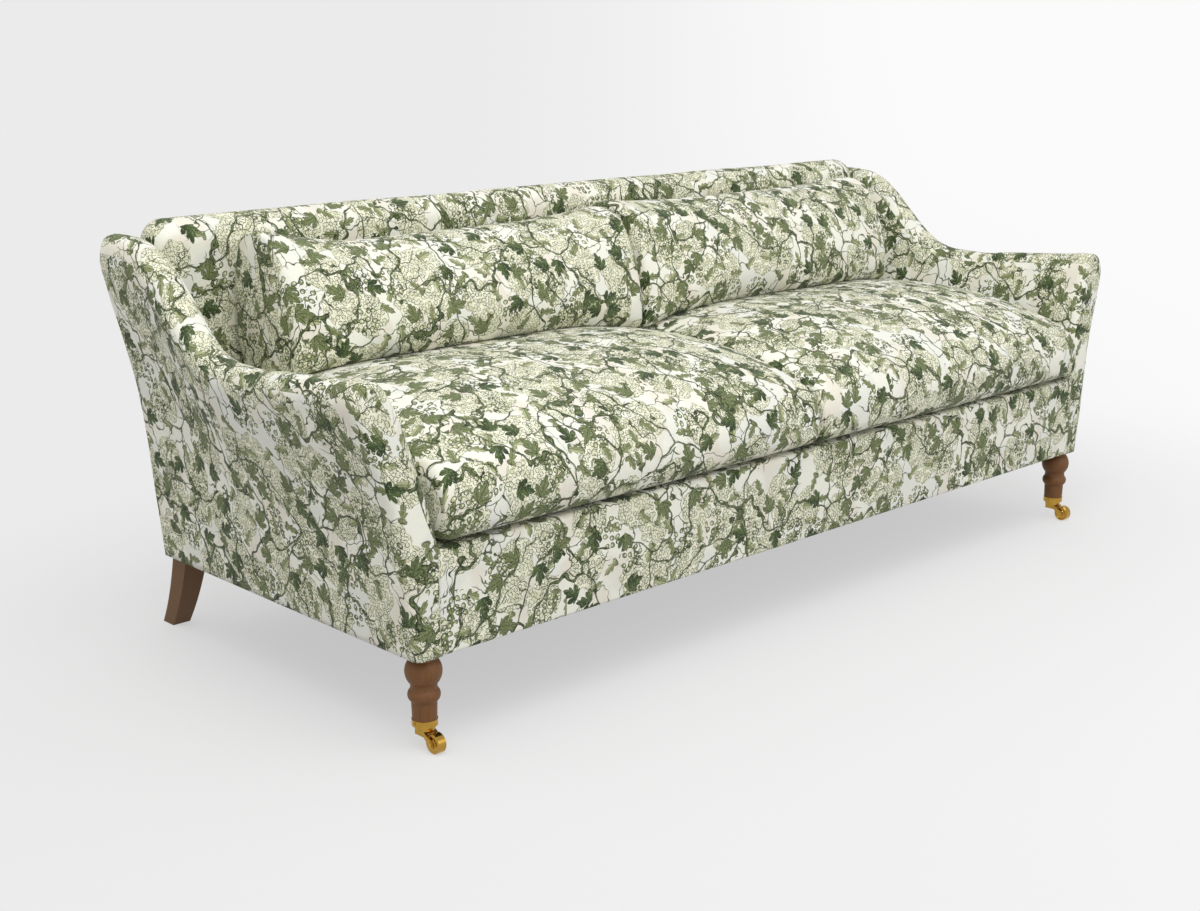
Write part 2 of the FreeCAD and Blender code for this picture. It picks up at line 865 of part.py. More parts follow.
keep(modelled("back_webbing", back_webbing()))


# Coverings

side_zone = box("side_zone", (none, border_back, none), (widest + over, far_back, arm_back_height + over))
panel_tool = common("outside_arm_tool", panel_solid, side_zone)
both_sides("outside_arm", common("outside_arm_right", arm_solid, panel_tool))

below_deck = box("below_deck", (none, far_front, none), (widest + over, far_back, rail_top))
border_zone = box("border_zone", (none, far_front, none), (widest + over, border_back, crease))
arm_tools = [panel_tool, below_deck, border_zone, front_post_right, back_post_right,
             arm_rail_right, back_top_rail, back_stay_rail]
both_sides("arm_pad", cut("arm_pad_right", arm_solid, arm_tools))


def border_section(half_width, height):
    """Plan outline of the front border, with rounded front corners."""
    radius = float(cell("corner_round"))
    front = float(front_face)
    back = float(border_back)
    bend = radius * (1 - math.sqrt(0.5))
    corners = []
    for side in (-1, 1):
        corners.append((Vector(side * half_width, front + radius, height),
                        Vector(side * (half_width - bend), front + bend, height),
                        Vector(side * (half_width - radius), front, height)))
    (a, b, c), (d, e, f) = corners
    back_left = Vector(-half_width, back, height)
    back_right = Vector(half_width, back, height)
    edges = [
        Part.makeLine(back_left, a),
        Part.Arc(a, b, c).toShape(),
        Part.makeLine(c, f),
        Part.Arc(f, e, d).toShape(),
        Part.makeLine(d, back_right),
        Part.makeLine(back_right, back_left),
    ]
    return Part.Wire(edges)


def border_face():
    """Front border from the underside up to the crease, flared like the arms."""
    crease_share = float(crease - underside) / float(arm_front_height - underside)
    sections = [border_section(float(half_base), float(underside)),
                border_section(outer_reach(crease_share), float(crease))]
    return Part.makeLoft(sections, True, True)


border_blank = modelled("front_border_face", border_face())
border_lip = box("front_border_lip", (-half_deck, border_back, clip_top), (half_deck, lip_back, crease))
border_whole = fuse("front_border_blank", [border_blank, border_lip])
timber_zone = box("front_timber_zone", (-timber_side, timber_front, none),
                  (timber_side, border_back, clip_top))
keep(cut("front_border", border_whole, [timber_zone, front_post_right, front_post_left]))


def back_pad_outline():
    """Side outline of the back pad: inside back, rolled top and its rear edge."""
    radius = cell("roll_radius")
    roll_height = cell("back_height") - radius
    return [
        (inside_back, deck_foot),
        (webbing_front, deck_foot),
        (webbing_front, back_post_top),
        (timber_back, back_post_top),
        (timber_back, back_panel_top),
        (back_face, back_panel_top),
        (back_face, roll_height, radius),
        (back_face - radius, roll_height + radius, radius),
        (back_face - radius - radius, roll_height),
    ]


roll_reach = half_base + cell("panel_thick")
roll_end = cell("roll_end_round")
roll_top = cell("back_height")
back_pad_body = padded_body("back_pad_blank", "YZ", back_pad_outline(), -roll_reach, roll_reach + roll_reach)
back_pad_front = padded_body("back_pad_front", "XZ", [
    (-roll_reach, underside),
    (roll_reach, underside),
    (roll_reach, roll_top - roll_end, roll_end),
    (roll_reach - roll_end, roll_top),
    (roll_end - roll_reach, roll_top, roll_end),
    (-roll_reach, roll_top - roll_end),
], inside_back - over, cell("base_depth"))
back_pad_round = common("back_pad_round", back_pad_body, back_pad_front)
keep(cut("back_pad", back_pad_round, [arm_solid, arm_solid_left]))



def back_panel_side():
    """Right edge of the outside back, upwards: beside the arm's foot, then along its inner side."""
    gap = cell("soft_gap")
    rise = arm_back_height - underside
    width = widest - half_seat
    step = rail_top - gap
    points = [(timber_side - gap, underside), (timber_side - gap, step), (half_seat - gap, step)]
    last = points[-1]
    for share, across, draw in reversed(CREST_SHARES):
        point = (half_seat + width * across - gap, underside + rise * share)
        if float(point[1]) >= float(back_panel_top):
            part_way = float(back_panel_top - last[1]) / float(point[1] - last[1])
            points.append((last[0] + (point[0] - last[0]) * part_way, back_panel_top))
            break
        points.append(point)
        last = point
    return points


right_edge = back_panel_side()
left_edge = [(-x, z) for x, z in reversed(right_edge)]
keep(padded_body("outside_back", "XZ", right_edge + left_edge, timber_back, cell("panel_thick")))

dust_blank = box("dust_cover_blank", (-timber_side, timber_front, underside),
                 (timber_side, timber_back, timber_foot))
leg_holes = []
for leg, reach, depth in (("front", front_leg_reach, front_leg_depth),
                          ("rear", rear_leg_reach, rear_leg_depth)):
    for side, sign in SIDES:
        leg_holes.append(bolt_hole(f"dust_cover_{leg}_hole_{side}", reach * sign, depth))
keep(cut("dust_cover", dust_blank, leg_holes))


# Cushions


def outline_wire(x, start, steps):
    """Closed outline across the sofa, of lines and arcs, at one distance.

    A step is the next point, or a point on an arc and the arc's end. The last
    step ends at the start.
    """
    edges = []
    here = Vector(x, *start)
    for step in steps:
        end = Vector(x, *step[-1])
        if len(step) == 2:
            edges.append(Part.Arc(here, Vector(x, *step[0]), end).toShape())
        else:
            edges.append(Part.makeLine(here, end))
        here = end
    return Part.Wire(edges)


def upright_arc(depth, foot, reach, rise):
    """Middle point of an arc that leaves an upright line and ends behind it, higher up."""
    radius = (reach ** 2 + rise ** 2) / (2 * reach)
    turn = math.asin(rise / radius) / 2
    return (depth + radius * (1 - math.cos(turn)), foot + radius * math.sin(turn))


def quarter_middle(depth, foot, radius):
    """Middle point of the quarter round between a level foot and an upright face."""
    bend = radius * (1 - math.sqrt(0.5))
    return (depth + bend, foot + bend)


seat_foot = crease + cell("soft_gap")
seat_front = front_face - cell("seat_overhang")
seat_back = inside_back - cell("seat_back_gap")
seat_far = half_seat - cell("seat_side_gap")
rest_front = inside_back - cell("back_cushion_depth") - cell("seat_rest_margin")
seat_crest = seat_front + (rest_front - seat_front) * SEAT_CREST_SHARE


def rest_line(depth):
    """Height of the seat cushions' level strip, where the back cushions rest."""
    fall = float(cell("seat_rest_fall")) / float(seat_back - rest_front)
    return float(cell("seat_rest_height")) - fall * (depth - float(rest_front))


def seat_section(x, crown, draw, shrink):
    """Outline of a seat cushion: level foot, rest strip, crowned top and rounded front."""
    inset = draw * float(cell("seat_end_draw")) + shrink
    low = float(seat_foot) + inset
    front = float(seat_front) + inset
    back = float(seat_back) - inset
    corner = float(cell("seat_corner_radius"))
    reach = float(cell("seat_shoulder_depth"))
    face_top = float(seat_foot) + float(cell("seat_shoulder_foot"))
    rest = float(rest_front)
    rest_top = rest_line(rest) - inset
    rear_top = rest_line(back) - inset
    crest_rise = float(cell("seat_crest_rise")) + crown * float(cell("seat_crown"))
    crest = (float(seat_crest), rest_top + crest_rise)
    shoulder_top = rest_top - float(cell("seat_shoulder_drop")) + crest_rise / 4
    return outline_wire(x, (front + corner, low), [
        ((back - corner, low),),
        (quarter_back(back, low, corner), (back, low + corner)),
        ((back, rear_top),),
        ((rest, rest_top),),
        (crest, (front + reach, shoulder_top)),
        (upright_arc(front, face_top, reach, shoulder_top - face_top), (front, face_top)),
        ((front, low + corner),),
        (quarter_middle(front, low, corner), (front + corner, low)),
    ])


def quarter_back(depth, foot, radius):
    """Middle point of the quarter round at a rear foot."""
    bend = radius * (1 - math.sqrt(0.5))
    return (depth - bend, foot + bend)


def seat_cushion(shrink):
    """Right seat cushion, or its core when it is shrunk."""
    near = float(seat_near) + shrink
    far = float(seat_far) - shrink
    wires = []
    for across, crown, draw in SEAT_STATION_SHARES:
        wires.append(seat_section(near + across * (far - near), crown, draw, shrink))
    return Part.makeLoft(wires, True, False, False, LOFT_DEGREE)


def back_section(x, draw, shrink):
    """Outline of a back cushion: it leans on the back and bellies forward."""
    inset = draw * float(cell("back_end_draw"))
    rear = float(inside_back - cell("soft_gap")) - shrink - BACK_DRAW_SHARES["rear"] * inset
    front = float(inside_back - cell("back_cushion_depth")) + shrink + inset
    lift = float(cell("soft_gap")) + shrink + BACK_DRAW_SHARES["foot"] * inset
    top = float(cell("back_cushion_height")) - shrink - BACK_DRAW_SHARES["top"] * inset
    corner = float(cell("back_corner_radius"))
    turn = float(cell("back_rear_round"))
    drop = float(cell("back_top_round"))
    lean = float(cell("back_face_lean")) * (rear - front) / float(cell("back_cushion_depth"))
    low = rest_line(front + corner) + lift
    rear_low = rest_line(rear - turn) + lift
    face_foot = low + corner
    face_top = top - drop
    rear_top = top - drop
    return outline_wire(x, (front + corner, low), [
        ((rear - turn, rear_low),),
        ((rear, (rear_low + rear_top) / 2), (rear - turn, rear_top)),
        (((front + lean + rear - turn) / 2, top), (front + lean, face_top)),
        (upright_arc(front, face_foot, lean, face_top - face_foot), (front, face_foot)),
        (quarter_middle(front, low, corner), (front + corner, low)),
    ])


def back_cushion(shrink):
    """Right back cushion, or its core when it is shrunk."""
    near = float(seat_near) + shrink
    far = float(seat_near + cell("back_cushion_width")) - shrink
    wires = []
    for across, draw in BACK_STATION_SHARES:
        wires.append(back_section(near + across * (far - near), draw, shrink))
    return Part.makeLoft(wires, True, False, False, LOFT_DEGREE)


def cushion_pair(name, shape_of):
    """Filled cover and inner pad of a cushion, on both sides."""
    wrap = float(cell("cushion_wrap"))
    gap = float(cell("fixing_clearance"))
    whole = modelled(f"{name}_cushion_whole", shape_of(0.0))
    hollow = modelled(f"{name}_cushion_hollow", shape_of(wrap))
    both_sides(f"{name}_cushion", cut(f"{name}_cushion_right", whole, [hollow]))
    both_sides(f"{name}_core", modelled(f"{name}_core_right", shape_of(wrap + gap)))


cushion_pair("seat", seat_cushion)
cushion_pair("back", back_cushion)


# Front legs

cup_rim = cell("cup_rim_height")
cup_floor = cup_rim - cell("leg_spigot_length")
bulb_head = underside - cell("leg_neck_length")
waist_head = bulb_head - cell("leg_bulb_length")
ring_head = waist_head - cell("leg_waist_length")
ring_foot = ring_head - cell("leg_ring_length")
# The bulb is a zone of a sphere that is centred on the leg's axis
bulb_round = hypotenuse(cell("leg_neck_radius"), cell("leg_bulb_length") / 2)
bolt_hole_radius = cell("bolt_radius") + cell("fixing_clearance")
bolt_floor = underside - cell("bolt_down") - cell("fixing_clearance")
tang_hole_radius = cell("pintle_tang_radius") + cell("fixing_clearance")
tang_hole_top = cup_floor + cell("pintle_tang_length") + cell("fixing_clearance")
ankle_step = cell("leg_ankle_radius") - cell("leg_foot_radius")


def screw_holes(label):
    """Two level holes through the cup's wall into the leg, one on each side."""
    radius = cell("screw_radius") + cell("fixing_clearance")
    length = cell("screw_length") + cell("fixing_clearance") + over
    inner = cell("cup_outer_radius") - cell("screw_length") - cell("fixing_clearance")
    holes = []
    for end, foot in (("out", front_leg_reach + inner), ("in", front_leg_reach - inner - length)):
        start = (foot, front_leg_depth, cell("screw_height"))
        holes.append(cylinder(f"{label}_screw_hole_{end}", radius, start, length, "X"))
    return holes


def front_leg():
    """Turned leg: neck, bulb, waist, ring and a tapered ankle in the cup."""
    neck = cell("leg_neck_radius")
    leg = turned_body("front_leg_turning", [
        (none, bolt_floor),
        (bolt_hole_radius, bolt_floor),
        (bolt_hole_radius, underside),
        (neck, underside),
        (neck, bulb_head, -bulb_round),
        (neck, waist_head, cell("leg_waist_round")),
        (neck, ring_head, -cell("leg_ring_round")),
        (cell("leg_ankle_radius") + ankle_step, ring_foot),
        (cell("leg_ankle_radius"), ring_foot - ankle_step * 3),
        (cell("leg_foot_radius"), cup_rim),
        (cell("leg_spigot_radius"), cup_rim),
        (cell("leg_spigot_radius"), cup_floor),
        (tang_hole_radius, cup_floor),
        (tang_hole_radius, tang_hole_top),
        (none, tang_hole_top),
    ], "V_Axis")
    place(leg, (front_leg_reach, front_leg_depth, none))
    return cut("front_leg_right", leg, screw_holes("front_leg"))


both_sides("front_leg", front_leg())


# Rear legs


def rear_leg():
    """Square tapered leg that sweeps back to its foot."""
    tall = float(underside)
    wires = []
    for down, sweep in REAR_LEG_SHARES:
        half = float(cell("rear_leg_top_side")) / 2
        half -= down * float(cell("rear_leg_top_side") - cell("rear_leg_foot_side")) / 2
        x = float(rear_leg_reach) - sweep * float(cell("rear_leg_draw_in"))
        y = float(rear_leg_depth) + sweep * float(cell("rear_leg_sweep"))
        z = tall * (1 - down)
        corners = [Vector(x - half, y - half, z), Vector(x + half, y - half, z),
                   Vector(x + half, y + half, z), Vector(x - half, y + half, z)]
        wires.append(Part.makePolygon(corners + corners[:1]))
    return Part.makeLoft(wires, True, False, False, LOFT_DEGREE)


rear_leg_blank = modelled("rear_leg_blank", rear_leg())
rear_hole_length = cell("rear_bolt_down") + cell("fixing_clearance") + over
rear_hole = cylinder("rear_leg_hole", bolt_hole_radius,
                     (rear_leg_reach, rear_leg_depth, underside + over - rear_hole_length),
                     rear_hole_length)
both_sides("rear_leg", cut("rear_leg_right", rear_leg_blank, [rear_hole]))


def leg_bolts():
    """Bolts that hold the legs to the posts."""
    bolts = []
    legs = (
        ("front", front_leg_reach, front_leg_depth, cell("bolt_down")),
        ("rear", rear_leg_reach, rear_leg_depth, cell("rear_bolt_down")),
    )
    for leg, reach, depth, down in legs:
        length = down + cell("bolt_up")
        for side, sign in SIDES:
            foot = (reach * sign, depth, underside - down)
            bolts.append(cylinder(f"leg_bolt_{leg}_{side}", cell("bolt_radius"), foot, length))
    return bolts


keep(group("leg_bolts", leg_bolts()))


# Castors

cup_foot = cell("cup_foot_height")
cup_bore = cell("pintle_radius") + cell("fixing_clearance")
cup_inner = cell("leg_spigot_radius") + cell("cup_fit")
cup = turned_body("castor_cup_turning", [
    (cup_bore, cup_foot),
    (cell("cup_step_radius"), cup_foot),
    (cell("cup_step_radius"), cell("cup_step_height")),
    (cell("cup_outer_radius"), cell("cup_step_height")),
    (cell("cup_outer_radius"), cup_rim),
    (cup_inner, cup_rim),
    (cup_inner, cup_floor),
    (cup_bore, cup_floor),
], "V_Axis")
place(cup, (front_leg_reach, front_leg_depth, none))
both_sides("castor_cup", cut("castor_cup_right", cup, screw_holes("castor_cup")))


def screw(label, sign, side):
    """Round-headed screw through the cup's wall, seen from above along X."""
    outer = cell("cup_outer_radius")
    head = cell("screw_head_thick")
    length = cell("screw_length")
    shank_foot = outer - length if sign > 0 else -outer
    head_foot = outer if sign > 0 else -outer - head
    x = front_leg_reach * side
    height = cell("screw_height")
    shank_start = (x + shank_foot, front_leg_depth, height)
    head_start = (x + head_foot, front_leg_depth, height)
    shank = cylinder(f"{label}_shank", cell("screw_radius"), shank_start, length, "X")
    top = cylinder(f"{label}_head", cell("screw_head_radius"), head_start, head, "X")
    return fuse(label, [shank, top])


screws = []
for side, sign in SIDES:
    for end, direction in (("out", 1), ("in", -1)):
        screws.append(screw(f"castor_screw_{side}_{end}", direction * sign, sign))
keep(group("castor_cup_screws", screws))

neck_top = cup_foot - cell("horn_gap")
neck_foot = neck_top - cell("horn_neck_tall")
pin_head_top = neck_foot - cell("horn_gap")
pin_head_foot = pin_head_top - cell("pintle_head_thick")
pintle = turned_body("castor_pintle_right", [
    (none, pin_head_foot),
    (cell("pintle_head_radius"), pin_head_foot),
    (cell("pintle_head_radius"), pin_head_top),
    (cell("pintle_radius"), pin_head_top),
    (cell("pintle_radius"), cup_floor),
    (cell("pintle_tang_radius"), cup_floor),
    (cell("pintle_tang_radius"), cup_floor + cell("pintle_tang_length")),
    (none, cup_floor + cell("pintle_tang_length")),
], "V_Axis")
place(pintle, (front_leg_reach, front_leg_depth, none))
both_sides("castor_pintle", pintle)

axle_depth = front_leg_depth - cell("castor_trail")
axle_height = cell("wheel_radius")
half_horn = cell("horn_width") / 2
cheek = cell("horn_cheek_radius")
neck_front = front_leg_depth - cell("horn_neck_back")
neck_back = front_leg_depth + cell("horn_neck_back")


def horn():
    """Forked arm that turns on the pintle and holds the wheel's axle."""
    blank = padded_body("castor_horn_blank", "YZ", [
        (neck_back, neck_foot),
        (neck_back, neck_top),
        (neck_front, neck_top),
        (axle_depth, axle_height + cheek, cheek),
        (axle_depth - cheek, axle_height, cheek),
        (axle_depth, axle_height - cheek),
        (neck_front, neck_foot),
    ], front_leg_reach - half_horn, half_horn + half_horn)
    slot_half = cell("wheel_width") / 2 + cell("wheel_side_clearance")
    slot_radius = cell("wheel_radius") + cell("wheel_clearance")
    slot = cylinder("castor_horn_slot", slot_radius, (front_leg_reach - slot_half, axle_depth, axle_height),
                    slot_half + slot_half, "X")
    bore = cylinder("castor_horn_bore", cell("pintle_radius") + cell("running_clearance"),
                    (front_leg_reach, front_leg_depth, none), cup_rim)
    axle_bore = cylinder("castor_horn_axle_bore", cell("axle_radius") + cell("fixing_clearance"),
                         (front_leg_reach - over, axle_depth, axle_height), over + over, "X")
    return cut("castor_horn_right", blank, [slot, bore, axle_bore])


both_sides("castor_horn", horn())

head_end = half_horn + cell("axle_head_thick")
axle = turned_body("castor_axle_right", [
    (-head_end, none),
    (head_end, none),
    (head_end, cell("axle_head_radius")),
    (half_horn, cell("axle_head_radius")),
    (half_horn, cell("axle_radius")),
    (-half_horn, cell("axle_radius")),
    (-half_horn, cell("axle_head_radius")),
    (-head_end, cell("axle_head_radius")),
], "H_Axis")
place(axle, (front_leg_reach, axle_depth, axle_height))
both_sides("castor_axle", axle)

half_wheel = cell("wheel_width") / 2
web = half_wheel - cell("wheel_dish")
wheel_bore = cell("axle_radius") + cell("running_clearance")
rim_inner = cell("wheel_radius") - cell("wheel_chamfer") - cell("wheel_rim_width")
tread_edge = half_wheel - cell("wheel_chamfer")
shoulder = cell("wheel_radius") - cell("wheel_chamfer")
hub_foot = cell("wheel_hub_radius") + cell("wheel_dish")
wheel = turned_body("castor_wheel_right", [
    (-half_wheel, wheel_bore),
    (half_wheel, wheel_bore),
    (half_wheel, cell("wheel_hub_radius")),
    (web, hub_foot),
    (web, rim_inner - cell("wheel_dish")),
    (half_wheel, rim_inner),
    (half_wheel, shoulder),
    (tread_edge, cell("wheel_radius")),
    (-tread_edge, cell("wheel_radius")),
    (-half_wheel, shoulder),
    (-half_wheel, rim_inner),
    (-web, rim_inner - cell("wheel_dish")),
    (-web, hub_foot),
    (-half_wheel, cell("wheel_hub_radius")),
], "H_Axis")
place(wheel, (front_leg_reach, axle_depth, axle_height))
both_sides("castor_wheel", wheel)


# Check and write out

doc.recompute()
for feature in nodes:
    faults = [state for state in feature.State if state in ("Invalid", "Error")]
    if faults or feature.Shape.isNull() or not feature.Shape.isValid():
        raise RuntimeError(f"{feature.Label} did not build: {feature.State}")

os.makedirs("parts", exist_ok=True)
for feature in nodes:
    feature.Shape.exportStep(f"parts/{feature.Label}.step")
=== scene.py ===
"""Dressed scene of a low-armed sofa in printed cloth, on the CAD frame.

Lengths are in metres, in the frame's own axes: +X to the right of someone who
faces the sofa, the front towards -Y and +Z up.
"""
import logging
import math
from dataclasses import dataclass
from enum import Enum

import bmesh
import bpy
import numpy as np
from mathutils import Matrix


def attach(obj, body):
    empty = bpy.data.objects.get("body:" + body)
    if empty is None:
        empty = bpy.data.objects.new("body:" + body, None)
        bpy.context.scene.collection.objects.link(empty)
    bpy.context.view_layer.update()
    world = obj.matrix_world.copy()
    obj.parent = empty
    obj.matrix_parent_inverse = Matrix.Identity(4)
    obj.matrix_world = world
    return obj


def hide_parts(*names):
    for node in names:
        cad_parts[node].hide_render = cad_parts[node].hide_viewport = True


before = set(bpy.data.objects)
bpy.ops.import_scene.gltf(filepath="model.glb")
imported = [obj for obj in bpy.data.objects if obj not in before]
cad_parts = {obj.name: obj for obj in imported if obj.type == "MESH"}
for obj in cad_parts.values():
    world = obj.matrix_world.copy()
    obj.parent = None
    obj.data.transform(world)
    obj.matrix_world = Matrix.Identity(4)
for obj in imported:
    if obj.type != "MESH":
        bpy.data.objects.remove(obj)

LOG = logging.getLogger("sofa")


# Sizes


@dataclass(frozen=True)
class Carcass:
    """Main sizes and places of the upholstered body."""

    foot: float = 0.159
    crease: float = 0.333
    front: float = -0.4095
    back: float = 0.3585
    half_base: float = 0.955
    half_seat: float = 0.906
    widest: float = 1.043
    flare: float = 0.088
    arm_low: float = 0.581
    arm_front_lift: float = 0.024
    arm_back_lift: float = 0.177
    arm_lean: float = 0.0717
    edge_round: float = 0.015
    back_height: float = 0.783
    roll_radius: float = 0.046
    roll_reach: float = 0.972
    inside_back: float = 0.264
    lip_depth: float = 0.082

    @property
    def depth(self) -> float:
        """Depth of the base."""
        return self.back - self.front


CARCASS = Carcass()

# Arm ridge: share of the depth, share of the front lift, share of the back lift
RIDGE = np.array([
    (0.0, 1.0, 0.0), (0.03, 1.0, 0.0), (0.085, 0.84, 0.0), (0.165, 0.67, 0.0), (0.324, 0.29, 0.0),
    (0.465, 0.0, 0.0), (0.530, 0.0, 0.011), (0.582, 0.0, 0.068), (0.630, 0.0, 0.181),
    (0.676, 0.0, 0.350), (0.720, 0.0, 0.531), (0.758, 0.0, 0.695), (0.792, 0.0, 0.819),
    (0.835, 0.0, 0.927), (0.887, 0.0, 0.989), (0.935, 0.0, 1.0), (1.0, 0.0, 1.0),
])
# Inner side of an arm from the foot up: share of height, share of width, draw of a rounded edge
INNER = np.array([
    (0.0, 0.0, 0.0), (0.12, 0.0, 0.0), (0.25, 0.0, 0.0), (0.38, 0.0, 0.0), (0.45, 0.022, 0.6),
    (0.55, 0.088, 1.0), (0.65, 0.175, 1.0), (0.72, 0.234, 1.0), (0.79, 0.30, 1.0), (0.86, 0.38, 1.0),
    (0.92, 0.453, 1.0), (0.955, 0.518, 1.0), (0.985, 0.60, 0.8), (1.0, 0.774, 0.0),
])
# Outer side from the foot up: share of height, share of the flare, draw of a rounded edge
OUTER = np.array([
    (0.0, 0.0, -1.0), (0.1, 0.06, -1.0), (0.2, 0.125, -1.0), (0.4, 0.227, -1.0), (0.55, 0.375, -1.0),
    (0.7, 0.625, -1.0), (0.85, 0.886, -1.0), (0.94, 0.989, -1.0), (0.985, 0.887, -0.8), (1.0, 0.648, 0.0),
])


# Numbers


def smooth_rows(rows: np.ndarray, count: int) -> np.ndarray:
    """Resamples rows of numbers along a smooth curve through them.

    Each span is a cubic Hermite curve whose end slopes are the differences
    across their neighbours, over the chord length.

    Args:
        rows: The points to go through, one a row.
        count: How many points to return, evenly spaced by chord length.

    Returns:
        The resampled points.
    """
    steps = np.linalg.norm(np.diff(rows, axis=0), axis=1)
    at = np.concatenate([[0.0], np.cumsum(np.maximum(steps, 1e-9))])
    slopes = np.gradient(rows, at, axis=0)
    want = np.linspace(0.0, at[-1], count)
    index = np.clip(np.searchsorted(at, want, side="right") - 1, 0, len(at) - 2)
    span = (at[index + 1] - at[index])[:, None]
    t = (want - at[index])[:, None] / span
    a, b = rows[index], rows[index + 1]
    slope_a, slope_b = slopes[index] * span, slopes[index + 1] * span
    return ((2 * t**3 - 3 * t**2 + 1) * a + (t**3 - 2 * t**2 + t) * slope_a
            + (3 * t**2 - 2 * t**3) * b + (t**3 - t**2) * slope_b)


def smoothstep(value: np.ndarray, low: float, high: float) -> np.ndarray:
    """Rises from 0 at low to 1 at high, with level ends."""
    t = np.clip((value - low) / (high - low), 0.0, 1.0)
    return t * t * (3.0 - 2.0 * t)


def arc_points(start: tuple, middle: tuple, end: tuple, count: int) -> np.ndarray:
    """Points of the circular arc through three points of a plane, without its end."""
    a, b, c = (np.array(p, float) for p in (start, middle, end))
    ab, ac = b - a, c - a
    cross = 2.0 * (ab[0] * ac[1] - ab[1] * ac[0])
    ab2, ac2 = ab @ ab, ac @ ac
    centre = a + np.array([ac[1] * ab2 - ab[1] * ac2, ab[0] * ac2 - ac[0] * ab2]) / cross
    turn_a, turn_b, turn_c = (math.atan2(*(p - centre)[::-1]) for p in (a, b, c))
    full = 2.0 * math.pi
    sweep = (turn_c - turn_a) % full
    if (turn_b - turn_a) % full > sweep:
        sweep -= full
    turns = turn_a + sweep * np.arange(count) / count
    return centre + np.linalg.norm(a - centre) * np.stack([np.cos(turns), np.sin(turns)], axis=1)


def line_points(start: tuple, end: tuple, count: int) -> np.ndarray:
    """Evenly spaced points of a line, without its end."""
    t = np.arange(count)[:, None] / count
    return np.array(start, float) * (1.0 - t) + np.array(end, float) * t


def trace(start: tuple, *legs: tuple) -> np.ndarray:
    """Closed outline of lines and arcs, each from where the last one ends.

    Args:
        start: The first point.
        *legs: For a line its end and count of points, for an arc its middle, end and count.

    Returns:
        The points, of which the last repeats the first.
    """
    parts = []
    for *through, count in legs:
        draw = arc_points if len(through) > 1 else line_points
        parts.append(draw(start, *through, count))
        start = through[-1]
    return np.concatenate([*parts, parts[0][:1]])


def waves(points: np.ndarray, length: float, seed: int) -> np.ndarray:
    """Gentle undulation between about -1 and 1: a sum of six seeded plane waves."""
    rng = np.random.default_rng(seed)
    total = np.zeros(points.shape[:-1])
    for _ in range(6):
        direction = rng.normal(size=3)
        direction /= np.linalg.norm(direction)
        rate = 2.0 * math.pi / (length * rng.uniform(0.7, 1.4))
        total += np.sin(points @ direction * rate + rng.uniform(0.0, 6.3))
    return total / 6.0 * 1.6


def run_length(points: np.ndarray, axis: int) -> np.ndarray:
    """Length along one axis of a grid of points, from its first row."""
    steps = np.linalg.norm(np.diff(points, axis=axis), axis=2)
    total = np.cumsum(steps, axis=axis)
    shape = list(total.shape)
    shape[axis] = 1
    return np.concatenate([np.zeros(shape), total], axis=axis)


def quarter_turn(radius: float, count: int) -> tuple[np.ndarray, np.ndarray]:
    """Run from the face and inset from the side, along a rounded end of a radius."""
    turns = np.linspace(0.0, math.pi / 2, count)
    return radius * (1.0 - np.cos(turns)), radius * (1.0 - np.sin(turns))


def face_knee(front: float, foot: float, reach: float, rise: float) -> tuple[float, float]:
    """Middle of an arc that starts upright at its foot and leans back by a reach over a rise."""
    radius = (reach**2 + rise**2) / (2 * reach)
    turn = math.asin(min(1.0, rise / radius)) / 2
    return front + radius * (1 - math.cos(turn)), foot + radius * math.sin(turn)


def grid_quads(rows: int, columns: int) -> np.ndarray:
    """Corner numbers of the quads of a grid of points, one quad a row."""
    index = np.arange(rows * columns).reshape(rows, columns)
    corners = [index[:-1, :-1], index[1:, :-1], index[1:, 1:], index[:-1, 1:]]
    return np.stack(corners, axis=-1).reshape(-1, 4)


# Meshes


